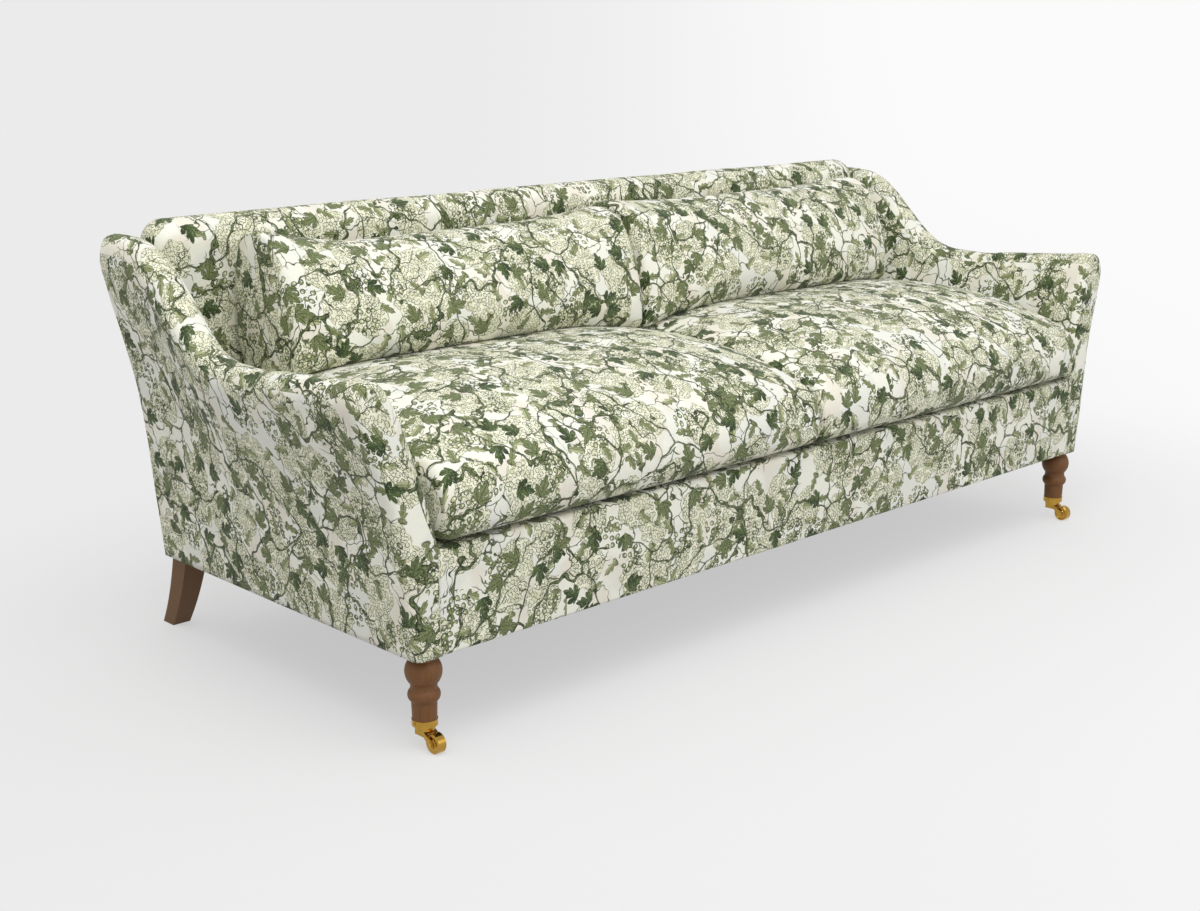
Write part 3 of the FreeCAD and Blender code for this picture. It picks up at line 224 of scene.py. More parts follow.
class Shell:
    """Collects grids of points with their cloth coordinates and makes one closed mesh."""

    def __init__(self) -> None:
        self.points: list[np.ndarray] = []
        self.faces: list[np.ndarray] = []
        self.cloth: list[np.ndarray] = []
        self.count = 0

    def grid(self, points: np.ndarray, cloth: np.ndarray) -> None:
        """Adds a grid of quads.

        Args:
            points: Places, rows by columns by three.
            cloth: Cloth coordinates in metres, rows by columns by two.
        """
        rows, columns = points.shape[:2]
        quads = grid_quads(rows, columns)
        self.points.append(points.reshape(-1, 3))
        self.faces.append(quads + self.count)
        self.cloth.append(cloth.reshape(-1, 2)[quads.ravel()])
        self.count += rows * columns

    def tube(self, rings: np.ndarray, key: int, shift: tuple[float, float], caps: int = 5,
             bulge: float = 0.0) -> None:
        """Adds closed rings side by side along X, and closes both ends.

        The cloth coordinates are true lengths: along X from the middle ring, and
        round each ring from its key point, so the print isn't stretched at the ends.

        Args:
            rings: Rings by points by three. Each ring's last point repeats its first.
            key: Place on a ring from which lengths round it are taken.
            shift: Cloth coordinates of the middle ring's key point.
            caps: Steps in which an end shrinks to its middle.
            bulge: How far the middle of an end stands out.
        """
        middle = len(rings) // 2
        along = run_length(rings, 0) * np.sign(rings[-1, 0, 0] - rings[0, 0, 0])
        along = along - along[middle] + rings[middle, :, 0]
        around = run_length(rings, 1)
        around = around - around[:, key:key + 1]
        self.grid(rings, np.stack([along, around], axis=-1) + shift)
        for ring, beside, offset in ((rings[0], rings[1], 0.0), (rings[-1], rings[-2], 0.7)):
            centre = ring[:-1].mean(axis=0)
            shares = np.linspace(1.0, 0.0, caps)[:, None, None]
            cap = centre + (ring - centre) * shares
            outwards = np.sign(ring[0, 0] - beside[0, 0])
            cap[..., 0] += outwards * bulge * (1.0 - shares[..., 0] ** 2)
            self.grid(cap, cap[..., 1:3] + offset)

    def build(self, name: str, weld: float = 2e-5) -> bpy.types.Object:
        """Makes the object, welds the grids' shared edges and turns all faces outwards."""
        mesh = bpy.data.meshes.new(name)
        points = np.concatenate(self.points)
        faces = np.concatenate(self.faces)
        cloth = np.concatenate(self.cloth)
        mesh.vertices.add(len(points))
        mesh.vertices.foreach_set("co", points.ravel())
        mesh.loops.add(faces.size)
        mesh.loops.foreach_set("vertex_index", faces.ravel())
        mesh.polygons.add(len(faces))
        mesh.polygons.foreach_set("loop_start", np.arange(0, faces.size, 4))
        mesh.update(calc_edges=True)
        layer = mesh.uv_layers.new(name="Cloth")
        layer.data.foreach_set("uv", cloth.ravel())
        mesh.validate()
        work = bmesh.new()
        work.from_mesh(mesh)
        bmesh.ops.remove_doubles(work, verts=work.verts, dist=weld)
        bmesh.ops.dissolve_degenerate(work, edges=work.edges, dist=weld / 4)
        bmesh.ops.recalc_face_normals(work, faces=work.faces)
        work.to_mesh(mesh)
        work.free()
        mesh.shade_smooth()
        piece = bpy.data.objects.new(name, mesh)
        bpy.context.scene.collection.objects.link(piece)
        LOG.info("%s: %d faces", name, len(mesh.polygons))
        return piece


# Shader maths


def maths(operation: str):
    """A method that feeds a wire and its other operands to one maths node."""
    def method(self, *others):
        return self.graph.node("ShaderNodeMath", [self, *others], operation=operation)
    return method


class Wire:
    """A shader socket or a number that takes part in sums."""

    def __init__(self, graph: "Graph", value) -> None:
        self.graph = graph
        self.value = value

    __add__ = __radd__ = maths("ADD")
    __sub__ = maths("SUBTRACT")
    __mul__ = __rmul__ = maths("MULTIPLY")
    __truediv__ = maths("DIVIDE")
    __abs__ = maths("ABSOLUTE")
    sin = maths("SINE")
    cos = maths("COSINE")
    root = maths("SQRT")
    fraction = maths("FRACT")
    least = maths("MINIMUM")
    most = maths("MAXIMUM")
    above = maths("GREATER_THAN")
    below = maths("LESS_THAN")

    def __rsub__(self, other):
        return Wire(self.graph, other) - self

    def step(self, low: float, high: float):
        """Rises smoothly from 0 at low to 1 at high, or falls where low is the higher."""
        rise = self.graph.node("ShaderNodeMapRange", {"Value": self, "From Min": min(low, high),
                                                      "From Max": max(low, high)},
                               interpolation_type="SMOOTHSTEP")
        return rise if low < high else 1.0 - rise


class Graph:
    """Node tree of one material."""

    def __init__(self, name: str) -> None:
        self.material = bpy.data.materials.new(name)
        self.material.use_nodes = True
        self.tree = self.material.node_tree
        self.shader = self.tree.nodes["Principled BSDF"]

    def node(self, kind: str, inputs=(), output=0, **settings) -> Wire:
        """Makes a node.

        Args:
            kind: Its type.
            inputs: Values or wires, by place or by name.
            output: Place or name of the output to return.
            **settings: Its properties.

        Returns:
            The output as a Wire.
        """
        node = self.tree.nodes.new(kind)
        for key, value in settings.items():
            setattr(node, key, value)
        pairs = inputs.items() if isinstance(inputs, dict) else enumerate(inputs)
        for key, value in pairs:
            source = value.value if isinstance(value, Wire) else value
            if isinstance(source, bpy.types.NodeSocket):
                self.tree.links.new(source, node.inputs[key])
            else:
                node.inputs[key].default_value = source
        return Wire(self, node.outputs[output])

    def mix(self, share, first, second) -> Wire:
        """Colour between two, where share 1 is the second."""
        return self.node("ShaderNodeMix", {0: share, 6: first, 7: second}, output=2, data_type="RGBA")

    def join(self, x, y, z=0.0) -> Wire:
        """A vector from three numbers."""
        return self.node("ShaderNodeCombineXYZ", [x, y, z])

    def split(self, vector: Wire) -> tuple[Wire, Wire, Wire]:
        """The three numbers of a vector."""
        first = self.node("ShaderNodeSeparateXYZ", [vector])
        outputs = first.value.node.outputs
        return tuple(Wire(self, outputs[i]) for i in range(3))

    def noise(self, vector, scale: float, detail: float = 2.0, rough: float = 0.5, output="Fac",
              space: str = "3D") -> Wire:
        """Noise of a scale in cycles to the metre."""
        return self.node("ShaderNodeTexNoise", {"Vector": vector, "Scale": scale, "Detail": detail,
                                                "Roughness": rough}, output=output, noise_dimensions=space)

    def flat_noise(self, vector, scale: float, detail: float = 0.0, output="Fac") -> Wire:
        """Noise on a flat map."""
        return self.noise(vector, scale, detail, 0.5, output, "2D")

    def cells(self, x, y, random: float, output: str = "Distance", **settings) -> Wire:
        """Cells about one unit apart on a flat map, as random as asked for."""
        return self.node("ShaderNodeTexVoronoi", {"Vector": self.join(x, y), "Scale": 1.0,
                                                  "Randomness": random},
                         output=output, voronoi_dimensions="2D", **settings)

    def own_place(self) -> Wire:
        """Coordinates of the piece that is shaded, in metres."""
        return self.node("ShaderNodeTexCoord", output="Object")

    def connect(self, wire: Wire, socket: str) -> None:
        """Drives one of the shader's sockets."""
        self.tree.links.new(wire.value, self.shader.inputs[socket])

    def bump(self, height: Wire, distance: float, strength: float = 1.0, under: Wire = None) -> Wire:
        """Bump from a height between 0 and 1."""
        inputs = {"Height": height, "Distance": distance, "Strength": strength}
        if under is not None:
            inputs["Normal"] = under
        return self.node("ShaderNodeBump", inputs, output="Normal")

    def set(self, **values) -> None:
        """Sets constants of the shader."""
        for key, value in values.items():
            self.shader.inputs[key.replace("_", " ")].default_value = value


def shade(hexadecimal: str, gain: float = 1.0) -> tuple[float, float, float, float]:
    """Linear colour from a six-digit screen colour."""
    parts = [int(hexadecimal[i:i + 2], 16) / 255.0 for i in (0, 2, 4)]
    linear = [p / 12.92 if p <= 0.04045 else ((p + 0.055) / 1.055) ** 2.4 for p in parts]
    return (*[min(1.0, gain * p) for p in linear], 1.0)


# Finishes

# Distances in metres between blossom heads, florets, bunches and berries, and thread pairs of the cloth
HEAD_PITCH = 0.086
FLORET_PITCH = 0.0090
BUNCH_PITCH = 0.105
BERRY_PITCH = 0.0140
THREAD_PITCH = 0.0009
# Spurs to the length of one cell of a stem
SPURS = 4.2
# How much finer than along it a wood's figure is across the grain
GRAIN_STRETCH = 9.0


@dataclass(frozen=True)
class Blade:
    """One blade of a printed leaf, in cells of its layer."""

    turn: float
    length: float
    half_width: float
    lobes: float = 2.6


@dataclass(frozen=True)
class PrintedCloth:
    """Pale woven cloth with a generic line-drawn print of stems, leaves, blossom and berries."""

    ground: str = "F4F3E6"
    cool: str = "E3E5E0"
    blush: str = "E8DECB"
    cream: str = "F5F4DF"
    wash: str = "E0E0C2"
    line: str = "545B33"
    ink: str = "29321B"
    dark_leaf: str = "33451F"
    dark_leaf_lit: str = "546738"
    mid_leaf: str = "7E8858"
    mid_leaf_lit: str = "BEC394"

    def scatter(self, g: Graph, u: Wire, v: Wire, pitch: float, seed: float,
                random: float = 0.85) -> tuple[Wire, Wire, Wire]:
        """Own turned coordinates for each cell of a scattered motif.

        Args:
            g: The material's graph.
            u: First cloth coordinate in metres.
            v: Second cloth coordinate in metres.
            pitch: Distance between motifs in metres.
            seed: Shift that sets this layer apart.
            random: How far motifs stray from a square grid.

        Returns:
            Distances along and across the motif, in cells, and a random number of the motif.
        """
        across = u / pitch + seed
        along = v / pitch + seed * 1.7
        centre = g.cells(across, along, random, "Position")
        centre_u, centre_v, _ = g.split(centre)
        chance = g.node("ShaderNodeTexWhiteNoise", [centre], noise_dimensions="2D", output="Value")
        turn = chance * (2.0 * math.pi)
        cosine, sine = turn.cos(), turn.sin()
        du, dv = across - centre_u, along - centre_v
        again = g.node("ShaderNodeTexWhiteNoise", [g.join(centre_v, centre_u)], noise_dimensions="2D",
                       output="Value")
        return du * cosine + dv * sine, dv * cosine - du * sine, again

    def leaf(self, g: Graph, x: Wire, y: Wire, blades: tuple[Blade, ...]) -> tuple[Wire, Wire]:
        """A lobed leaf of pointed blades from one stalk.

        A blade's half width is 4t(1 - t) of its greatest, times a sawtooth that
        makes pointed lobes, where t runs from stalk to tip.

        Args:
            g: The material's graph.
            x: Distance along the leaf from its stalk.
            y: Distance across it.
            blades: The blades to join.

        Returns:
            How deep a point lies inside the leaf, and the mask of its veins.
        """
        depth, veins = None, None
        for blade in blades:
            cosine, sine = math.cos(blade.turn), math.sin(blade.turn)
            t = ((x * cosine + y * sine) / blade.length).most(0.0).least(1.0)
            off = abs(y * cosine - x * sine)
            saw = (t * blade.lobes + 0.15).fraction()
            swell = t * (1.0 - t) * (4.0 * blade.half_width) * (0.62 + 0.62 * saw)
            inside = swell - off
            side = ((t - off * (1.1 / blade.length)) * 6.5).fraction().below(0.15)
            rib = off.below(0.012).most(side * 0.55) * inside.above(0.0)
            depth = inside if depth is None else depth.most(inside)
            veins = rib if veins is None else veins.most(rib)
        return depth, veins

    def ground_colour(self, g: Graph, at: Wire) -> Wire:
        """Off-white with cool and blush clouds."""
        cool = g.flat_noise(at, 9.0, 1.0).step(0.48, 0.60)
        blush = g.flat_noise(self.shifted(g, at, 3.1), 12.0, 1.0).step(0.53, 0.62)
        colour = g.mix(cool * 0.45, shade(self.ground), shade(self.cool))
        return g.mix(blush * 0.5, colour, shade(self.blush))

    def shifted(self, g: Graph, at: Wire, amount: float) -> Wire:
        """The cloth coordinates moved by a number."""
        return g.node("ShaderNodeVectorMath", [at, (amount, amount * 0.7, 0.0)], operation="ADD")

    def add_leaves(self, g: Graph, colour: Wire, place: tuple[Wire, Wire], pitch: float, seed: float,
                   keep: float, blades: tuple[Blade, ...], dark: str, lit: str) -> Wire:
        """Lays a layer of outlined leaves over a colour."""
        x, y, chance = self.scatter(g, *place, pitch, seed)
        depth, veins = self.leaf(g, x + 0.34, y, blades)
        shown = chance.below(keep)
        inside = depth.step(-0.003, 0.005) * shown
        tint = g.mix((y * 3.2 + 0.5).step(0.1, 0.9), shade(dark), shade(lit))
        tint = g.mix((chance / keep).step(0.42, 0.58) * 0.75, tint, shade(self.mid_leaf))
        tint = g.mix(veins * 0.75, tint, shade(self.ink))
        tint = g.mix(depth.step(0.024, 0.010), tint, shade(self.ink))
        return g.mix(inside, colour, tint)

    def add_blossom(self, g: Graph, colour: Wire, place: tuple[Wire, Wire], at: Wire) -> Wire:
        """Lays round heads of small outlined florets over a colour."""
        u, v = place
        lobes = g.flat_noise(at, 45.0, 1.0)
        head = g.cells(u / HEAD_PITCH + 0.31, v / HEAD_PITCH, 0.75)
        head = head + (lobes - 0.5) * 0.24
        inside = head.step(0.46, 0.44)
        x, y, _ = self.scatter(g, u, v, FLORET_PITCH, 2.3)
        away = (x * x + y * y).root()
        petals = away + 0.09 * (x * 11.0).sin() * (y * 11.0).sin()
        ring = (petals - 0.40).most(0.40 - petals).below(0.085)
        heart = away.below(0.09)
        shadow = g.flat_noise(at, 60.0, 2.0).step(0.42, 0.66)
        tint = g.mix(shadow * 0.8, shade(self.cream), shade(self.wash))
        line = g.mix(g.flat_noise(at, 33.0, 1.0).step(0.35, 0.65), shade("8F9067"), shade(self.line))
        edge = head.above(0.435) * 0.7
        tint = g.mix(ring.most(heart * 0.8).most(edge) * 0.9, tint, line)
        return g.mix(inside, colour, tint)

    def add_berries(self, g: Graph, colour: Wire, place: tuple[Wire, Wire]) -> Wire:
        """Lays bunches of outlined oval berries over a colour."""
        u, v = place
        bunch = g.cells(u / BUNCH_PITCH, v / BUNCH_PITCH + 0.47, 0.9).below(0.27)
        x, y, chance = self.scatter(g, u, v, BERRY_PITCH, 5.9, 0.5)
        away = ((x / 0.42) * (x / 0.42) + (y / 0.32) * (y / 0.32)).root()
        stalk = abs(y).below(0.035) * x.above(0.0)
        tint = g.mix(chance, shade(self.dark_leaf_lit), shade(self.mid_leaf_lit))
        shine = ((x + 0.1) * (x + 0.1) + (y - 0.08) * (y - 0.08)).root().step(0.20, 0.08)
        tint = g.mix(shine * 0.8, tint, shade(self.cream))
        tint = g.mix(away.above(0.74), tint, shade(self.ink))
        colour = g.mix(stalk * bunch, colour, shade(self.line))
        return g.mix(away.step(1.04, 0.96) * bunch, colour, tint)

    def add_stems(self, g: Graph, colour: Wire, place: tuple[Wire, Wire], at: Wire, pitch: float,
                  thick: float, seed: float, gaps: float) -> Wire:
        """Lays winding stems that fork, taper out and carry short spurs over a colour.

        A stem is the edge between bent cells, as thick as a slow noise says.

        Args:
            g: The material's graph.
            colour: The colour below.
            place: The cloth coordinates in metres.
            at: The same as a vector.
            pitch: Size of the cells in metres.
            thick: Full thickness in metres.
            seed: Shift that sets this layer apart.
            gaps: Noise level below which a stem has run out.

        Returns:
            The colour with the stems on it.
        """
        u, v = place
        slow_u, slow_v, _ = g.split(g.flat_noise(self.shifted(g, at, seed), 0.9 / pitch, output="Color"))
        kink_u, kink_v, _ = g.split(g.flat_noise(self.shifted(g, at, seed), 4.5 / pitch, output="Color"))
        bent_u = u / pitch + (slow_u - 0.5) * 1.3 + (kink_u - 0.5) * 0.22 + seed
        bent_v = v / pitch + (slow_v - 0.5) * 1.3 + (kink_v - 0.5) * 0.22
        edge = g.cells(bent_u, bent_v, 1.0, feature="DISTANCE_TO_EDGE")
        away = edge * pitch
        level = g.flat_noise(self.shifted(g, at, seed + 5.0), 0.8 / pitch)
        grown = ((level - gaps) * 9.0).most(0.0).least(1.0)
        half = grown * (thick / 2)
        spur = g.cells(bent_u * SPURS, bent_v * SPURS, 1.0, feature="DISTANCE_TO_EDGE")
        reach = pitch * 0.085
        spur_half = (reach - away).most(0.0) * (thick * 0.24 / reach) * grown
        spurs = (spur_half - spur * (pitch / SPURS)).step(-0.0001, 0.0002)
        stems = (half - away).step(-0.0002, 0.0003)
        lit = g.mix(g.flat_noise(at, 120.0, 1.0).step(0.4, 0.6), shade("414E2A"), shade("6A764A"))
        bark = g.mix((half - away).step(thick * 0.14, thick * 0.26), shade(self.ink), lit)
        colour = g.mix(spurs, colour, shade(self.ink, 1.1))
        return g.mix(stems, colour, bark)

    def material(self) -> bpy.types.Material:
        """Builds the cloth. Cloth coordinates are metres along warp and weft."""
        g = Graph("printed_cloth")
        at = g.node("ShaderNodeUVMap", uv_map="Cloth")
        u, v, _ = g.split(at)
        place = (u, v)
        slim = (Blade(0.0, 0.78, 0.15, 3.3), Blade(0.95, 0.24, 0.07, 1.0), Blade(-0.95, 0.24, 0.07, 1.0))
        broad = (Blade(0.0, 0.70, 0.17), Blade(0.75, 0.46, 0.13, 1.7), Blade(-0.75, 0.46, 0.13, 1.7))
        colour = self.ground_colour(g, at)
        colour = self.add_blossom(g, colour, place, at)
        colour = self.add_leaves(g, colour, place, pitch=0.047, seed=4.7, keep=0.75, blades=slim,
                                 dark=self.mid_leaf, lit=self.mid_leaf_lit)
        colour = self.add_stems(g, colour, place, at, pitch=0.056, thick=0.0024, seed=2.0, gaps=0.36)
        colour = self.add_berries(g, colour, place)
        colour = self.add_stems(g, colour, place, at, pitch=0.110, thick=0.0058, seed=7.0, gaps=0.25)
        colour = self.add_leaves(g, colour, place, pitch=0.055, seed=9.3, keep=0.50, blades=broad,
                                 dark=self.dark_leaf, lit=self.dark_leaf_lit)
        # Weave: warp and weft threads just under a millimetre apart
        rate = 2.0 * math.pi / THREAD_PITCH
        thread = (u * rate).sin() * (v * rate).sin() * 0.5 + 0.5
        fuzz = g.flat_noise(at, 700.0, 2.0)
        wear = g.flat_noise(at, 260.0, 1.0)
        colour = g.mix((wear - 0.52).most(0.0) * 0.6, colour, shade("F6F4E6"))
        g.connect(colour, "Base Color")
        g.connect(0.80 + 0.12 * fuzz, "Roughness")
        body = g.bump(g.flat_noise(at, 18.0, 2.0), 0.0012, 0.35)
        g.connect(g.bump(thread * 0.6 + fuzz * 0.4, 0.00022, 0.7, body), "Normal")
        g.set(Sheen_Weight=0.12, Sheen_Roughness=0.5, Specular_IOR_Level=0.22)
        return g.material


@dataclass(frozen=True)
class Timber:
    """Stained or raw wood with grain along Z."""

    name: str
    light: str
    dark: str
    rough: float
    coat: float
    rings: float = 95.0

    def material(self) -> bpy.types.Material:
        """Builds the wood from stretched noise and fine pores."""
        g = Graph(self.name)
        at = g.own_place()
        x, y, z = g.split(at)
        along = g.join(x * GRAIN_STRETCH, y * GRAIN_STRETCH, z)
        warp = g.noise(along, 4.0, 2.0)
        grain = ((x - 0.9 * y) * (self.rings * 6.3) + warp * 9.0 + z * 6.0).sin() * 0.5 + 0.5
        streak = g.noise(g.join(x * 14.0, y * 14.0, z), 22.0, 3.0, 0.6)
        pores = g.noise(g.join(x * 22.0, y * 22.0, z), 60.0, 2.0, 0.7).step(0.56, 0.66)
        tint = g.mix(0.10 + grain * 0.25 + streak * 0.60, shade(self.dark), shade(self.light))
        tint = g.mix(pores * 0.35, tint, shade(self.dark, 0.7))
        g.connect(tint, "Base Color")
        g.connect(self.rough + 0.12 * streak, "Roughness")
        g.connect(g.bump(streak * 0.5 - pores * 0.5, 0.0004, 0.4), "Normal")
        g.set(Coat_Weight=self.coat, Coat_Roughness=0.18)
        return g.material


@dataclass(frozen=True)
class Metal:
    """Polished or drawn metal."""

    name: str
    colour: str
    dull: str
    rough: float

    def material(self) -> bpy.types.Material:
        """Builds the metal with light handling marks."""
        g = Graph(self.name)
        at = g.own_place()
        cloudy = g.noise(at, 45.0, 3.0, 0.6)
        fine = g.noise(at, 1760.0, 1.0)
        g.connect(g.mix(cloudy.step(0.35, 0.75) * 0.5, shade(self.colour), shade(self.dull)), "Base Color")
        g.connect(self.rough + 0.14 * cloudy + 0.04 * fine, "Roughness")
        g.connect(g.bump(cloudy, 0.0002, 0.12), "Normal")
        g.set(Metallic=1.0)
        return g.material


@dataclass(frozen=True)
class PlainCloth:
    """Unprinted woven stuff: lining, jute, ticking."""

    name: str
    light: str
    dark: str
    pitch: float
    rough: float = 0.9

    def material(self) -> bpy.types.Material:
        """Builds the weave from two crossing sets of threads, in object coordinates."""
        g = Graph(self.name)
        at = g.own_place()
        x, y, z = g.split(at)
        rate = 2.0 * math.pi / self.pitch
        thread = ((x + z) * rate).sin() * ((y + z) * rate).sin() * 0.5 + 0.5
        slub = g.noise(at, 120.0, 3.0, 0.6)
        g.connect(g.mix(thread * 0.5 + slub * 0.5, shade(self.dark), shade(self.light)), "Base Color")
        g.connect(self.rough + 0.08 * slub, "Roughness")
        g.connect(g.bump(thread * 0.6 + slub * 0.4, 0.0005, 0.6), "Normal")
        g.set(Sheen_Weight=0.1)
        return g.material


class Finish(Enum):
    """The finishes of the sofa, by the record's material slot."""

    UPHOLSTERY = PrintedCloth()
    FRAME_TIMBER = Timber("frame_timber", "C79F6E", "9A7144", 0.6, 0.0)
    CUSHION_FILLING = PlainCloth("cushion_filling", "F1EADB", "D9CFBA", 0.0011)
    JUTE = PlainCloth("jute", "B59A6B", "7F653D", 0.0032)
    DUST_CLOTH = PlainCloth("dust_cloth", "2A2A2C", "141416", 0.0014)
    TURNED_WOOD = Timber("turned_wood", "8F5B24", "3A2108", 0.50, 0.03, 420.0)
    DARK_WOOD = Timber("dark_wood", "79501F", "543710", 0.52, 0.0, 300.0)
    BRASS = Metal("brass", "BE9746", "A07C34", 0.13)
    SPRING_STEEL = Metal("spring_steel", "8E9094", "5D5F63", 0.3)
    PLATED_STEEL = Metal("plated_steel", "BFC1BE", "8F928E", 0.28)


class Wardrobe:
    """Makes each finish once and puts it on pieces."""

    def __init__(self) -> None:
        self.made: dict[Finish, bpy.types.Material] = {}

    def dress(self, piece: bpy.types.Object, finish: Finish) -> None:
        """Gives a piece its material, linked to the object in every slot.

        Args:
            piece: A new piece or a CAD node.
            finish: The finish it takes.
        """
        if finish not in self.made:
            self.made[finish] = finish.value.material()
        material = self.made[finish]
        if not piece.material_slots:
            piece.data.materials.append(material)
        for place in piece.material_slots:
            place.link = "OBJECT"
            place.material = material


WARDROBE = Wardrobe()


# Upholstery

# Share of a radius between a corner's edges and the middle of its quarter turn
QUARTER_MIDDLE = 0.293
# Metres to a share of an arm's height and to its columns, so that its outline is resampled evenly
OUTLINE_SCALE = (0.446, 1.0, 0.01)
# Shares across an arm's ends and sole, from its inner to its outer side
ACROSS = np.linspace(0.0, 1.0, 14)[None, :, None]


def upholster(piece: bpy.types.Object, body: str, nodes: tuple[str, ...]) -> None:
    """Dresses a padded piece in the printed cloth and puts it on its body.

    Args:
        piece: The new piece.
        body: The body that it rides.
        nodes: The CAD nodes that it replaces.
    """
    WARDROBE.dress(piece, Finish.UPHOLSTERY)
    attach(piece, body)
    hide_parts(*nodes)


@dataclass
class Arm:
    """One padded arm, closed all round: S-shaped ridge, flared side and rounded front."""

    side: int
    name: str

    stations: int = 96
    rim: int = 46

    def ridge(self, depth: np.ndarray) -> np.ndarray:
        """Ridge height at a distance behind the front face."""
        rows = smooth_rows(RIDGE, 240)
        share = np.clip(depth / CARCASS.depth, 0.0, 1.0)
        front = np.interp(share, rows[:, 0], rows[:, 1])
        back = np.interp(share, rows[:, 0], rows[:, 2])
        return CARCASS.arm_low + front * CARCASS.arm_front_lift + back * CARCASS.arm_back_lift

    def outline(self) -> np.ndarray:
        """Share of height, distance from the middle and draw, up the inner side and down the outer."""
        width = CARCASS.widest - CARCASS.half_seat
        inner = INNER * (1.0, width, 1.0) + (0.0, CARCASS.half_seat, 0.0)
        outer = OUTER * (1.0, CARCASS.flare, 1.0) + (0.0, CARCASS.half_base, 0.0)
        whole = np.concatenate([inner, outer[-2::-1]])
        scaled = whole * OUTLINE_SCALE
        top = len(inner) - 1
        up = smooth_rows(scaled, 400)
        split = int(np.argmin(np.linalg.norm(up - scaled[top], axis=1)))
        first = smooth_rows(up[:split + 1:2], self.rim)
        second = smooth_rows(up[split::2], self.rim)
        rows = np.concatenate([first, second[1:]])
        return rows / OUTLINE_SCALE

    def cover(self, shell: Shell, points: np.ndarray) -> None:
        """Adds the arm's grid and its two ends, with cloth coordinates as true lengths.

        The front runs on round the edge that faces the camera, the outer one of
        the left arm and the inner one of the right, as one piece of cloth. The
        rest is another piece, measured across from the ridge.

        Args:
            shell: The shell to add to.
            points: Sections by points up the inner side and down the outer.
        """
        peak = self.rim - 1
        outer_wraps = self.side < 0
        split = peak + 4 if outer_wraps else peak - 4
        back_run = run_length(points, 0)
        around = run_length(points, 1)
        wrapped = np.s_[:, split:] if outer_wraps else np.s_[:, :split + 1]
        other = np.s_[:, :split + 1] if outer_wraps else np.s_[:, split:]
        wrap = np.stack([back_run, points[..., 2]], axis=-1)
        top = np.stack([back_run + 0.4, around - around[:, peak:peak + 1] + 0.9], axis=-1)
        shell.grid(points[wrapped], wrap[wrapped])
        shell.grid(points[other], top[other])
        for loop in (points[0], points[-1]):
            inner = loop[:self.rim][:, None, :]
            outer = loop[:self.rim - 2:-1][:, None, :]
            patch = inner * (1.0 - ACROSS) + outer * ACROSS
            if outer_wraps:
                reach = abs(patch[..., 0]) - np.maximum.accumulate(abs(outer[..., 0]), axis=0)
            else:
                reach = np.minimum(inner[..., 0], inner[split, :, 0]) - patch[..., 0]
            shell.grid(patch, np.stack([reach, patch[..., 2]], axis=-1))

    def build(self) -> None:
        """Makes the arm's mesh."""
        c = CARCASS
        front_run, front_inset = quarter_turn(c.edge_round, 8)
        rear_run, rear_inset = (part[::-1] for part in quarter_turn(0.012, 8))
        rear_run = c.depth - 0.002 - rear_run
        middle = np.linspace(front_run[-1], rear_run[0], self.stations)[1:-1]
        run = np.concatenate([front_run, middle, rear_run])
        inset = np.concatenate([front_inset, np.zeros(len(middle)), rear_inset])
        in_front = (run < 0.3).astype(float)
        top = self.ridge(run)
        rows = self.outline()
        share, across, draw = rows.T
        rise = (top - inset - c.foot)[:, None]
        z = c.foot + share[None, :] * rise
        inner_draw = np.where(draw[None, :] > 0.0, draw[None, :] * in_front[:, None], draw[None, :])
        x = across[None, :] + inner_draw * inset[:, None]
        fade = 1.0 - smoothstep(run, 0.0, 0.16)
        y = c.front + run[:, None] + c.arm_lean * np.maximum(0.0, z - c.crease) * fade[:, None]
        points = np.stack([x, y, z], axis=-1)
        soft = waves(points, 0.33, 5) * 0.0012 * smoothstep(z, 0.2, 0.4)
        points[..., 0] += soft
        points[..., 0] *= self.side
        shell = Shell()
        self.cover(shell, points)
        sole = points[:, :1] * (1.0 - ACROSS) + points[:, -1:] * ACROSS
        shell.grid(sole, sole[..., :2])
        nodes = (f"arm_pad_{self.name}", f"outside_arm_{self.name}")
        upholster(shell.build(f"arm_cover_{self.name}"), "sofa_frame", nodes)


class Border:
    """Padded border under the seat cushions, with the lip they overhang."""

    def build(self) -> None:
        """Makes the border's mesh."""
        c = CARCASS
        front, top, foot = c.front, c.crease, c.foot
        radius, low = 0.009, 0.004
        back = front + 0.011
        lip, under = front + c.lip_depth, top - 0.022
        high_bend, low_bend = radius * QUARTER_MIDDLE, low * QUARTER_MIDDLE
        outline = trace(
            (lip, top),
            ((front + radius, top), 10),
            ((front + high_bend, top - high_bend), (front, top - radius), 6),
            ((front, foot + low), 26),
            ((front + low_bend, foot + low_bend), (front + low, foot), 4),
            ((back, foot), 2),
            ((back, under), 10),
            ((lip, under), 6),
            ((lip, top), 3),
        )
        x = np.linspace(-c.half_seat - 0.004, c.half_seat + 0.004, 220)
        rings = np.zeros((len(x), len(outline), 3))
        rings[..., 0] = x[:, None]
        rings[..., 1:] = outline[None]
        face = (rings[..., 1] < front + radius).astype(float)
        puff = np.sin(np.clip((rings[..., 2] - foot) / (top - foot), 0.0, 1.0) * math.pi)
        rings[..., 1] -= face * (0.0016 * puff + 0.0007 * waves(rings, 0.22, 11) * puff)
        shell = Shell()
        shell.tube(rings, 10, (0.0, c.crease))
        upholster(shell.build("front_border_cover"), "sofa_frame", ("front_border",))


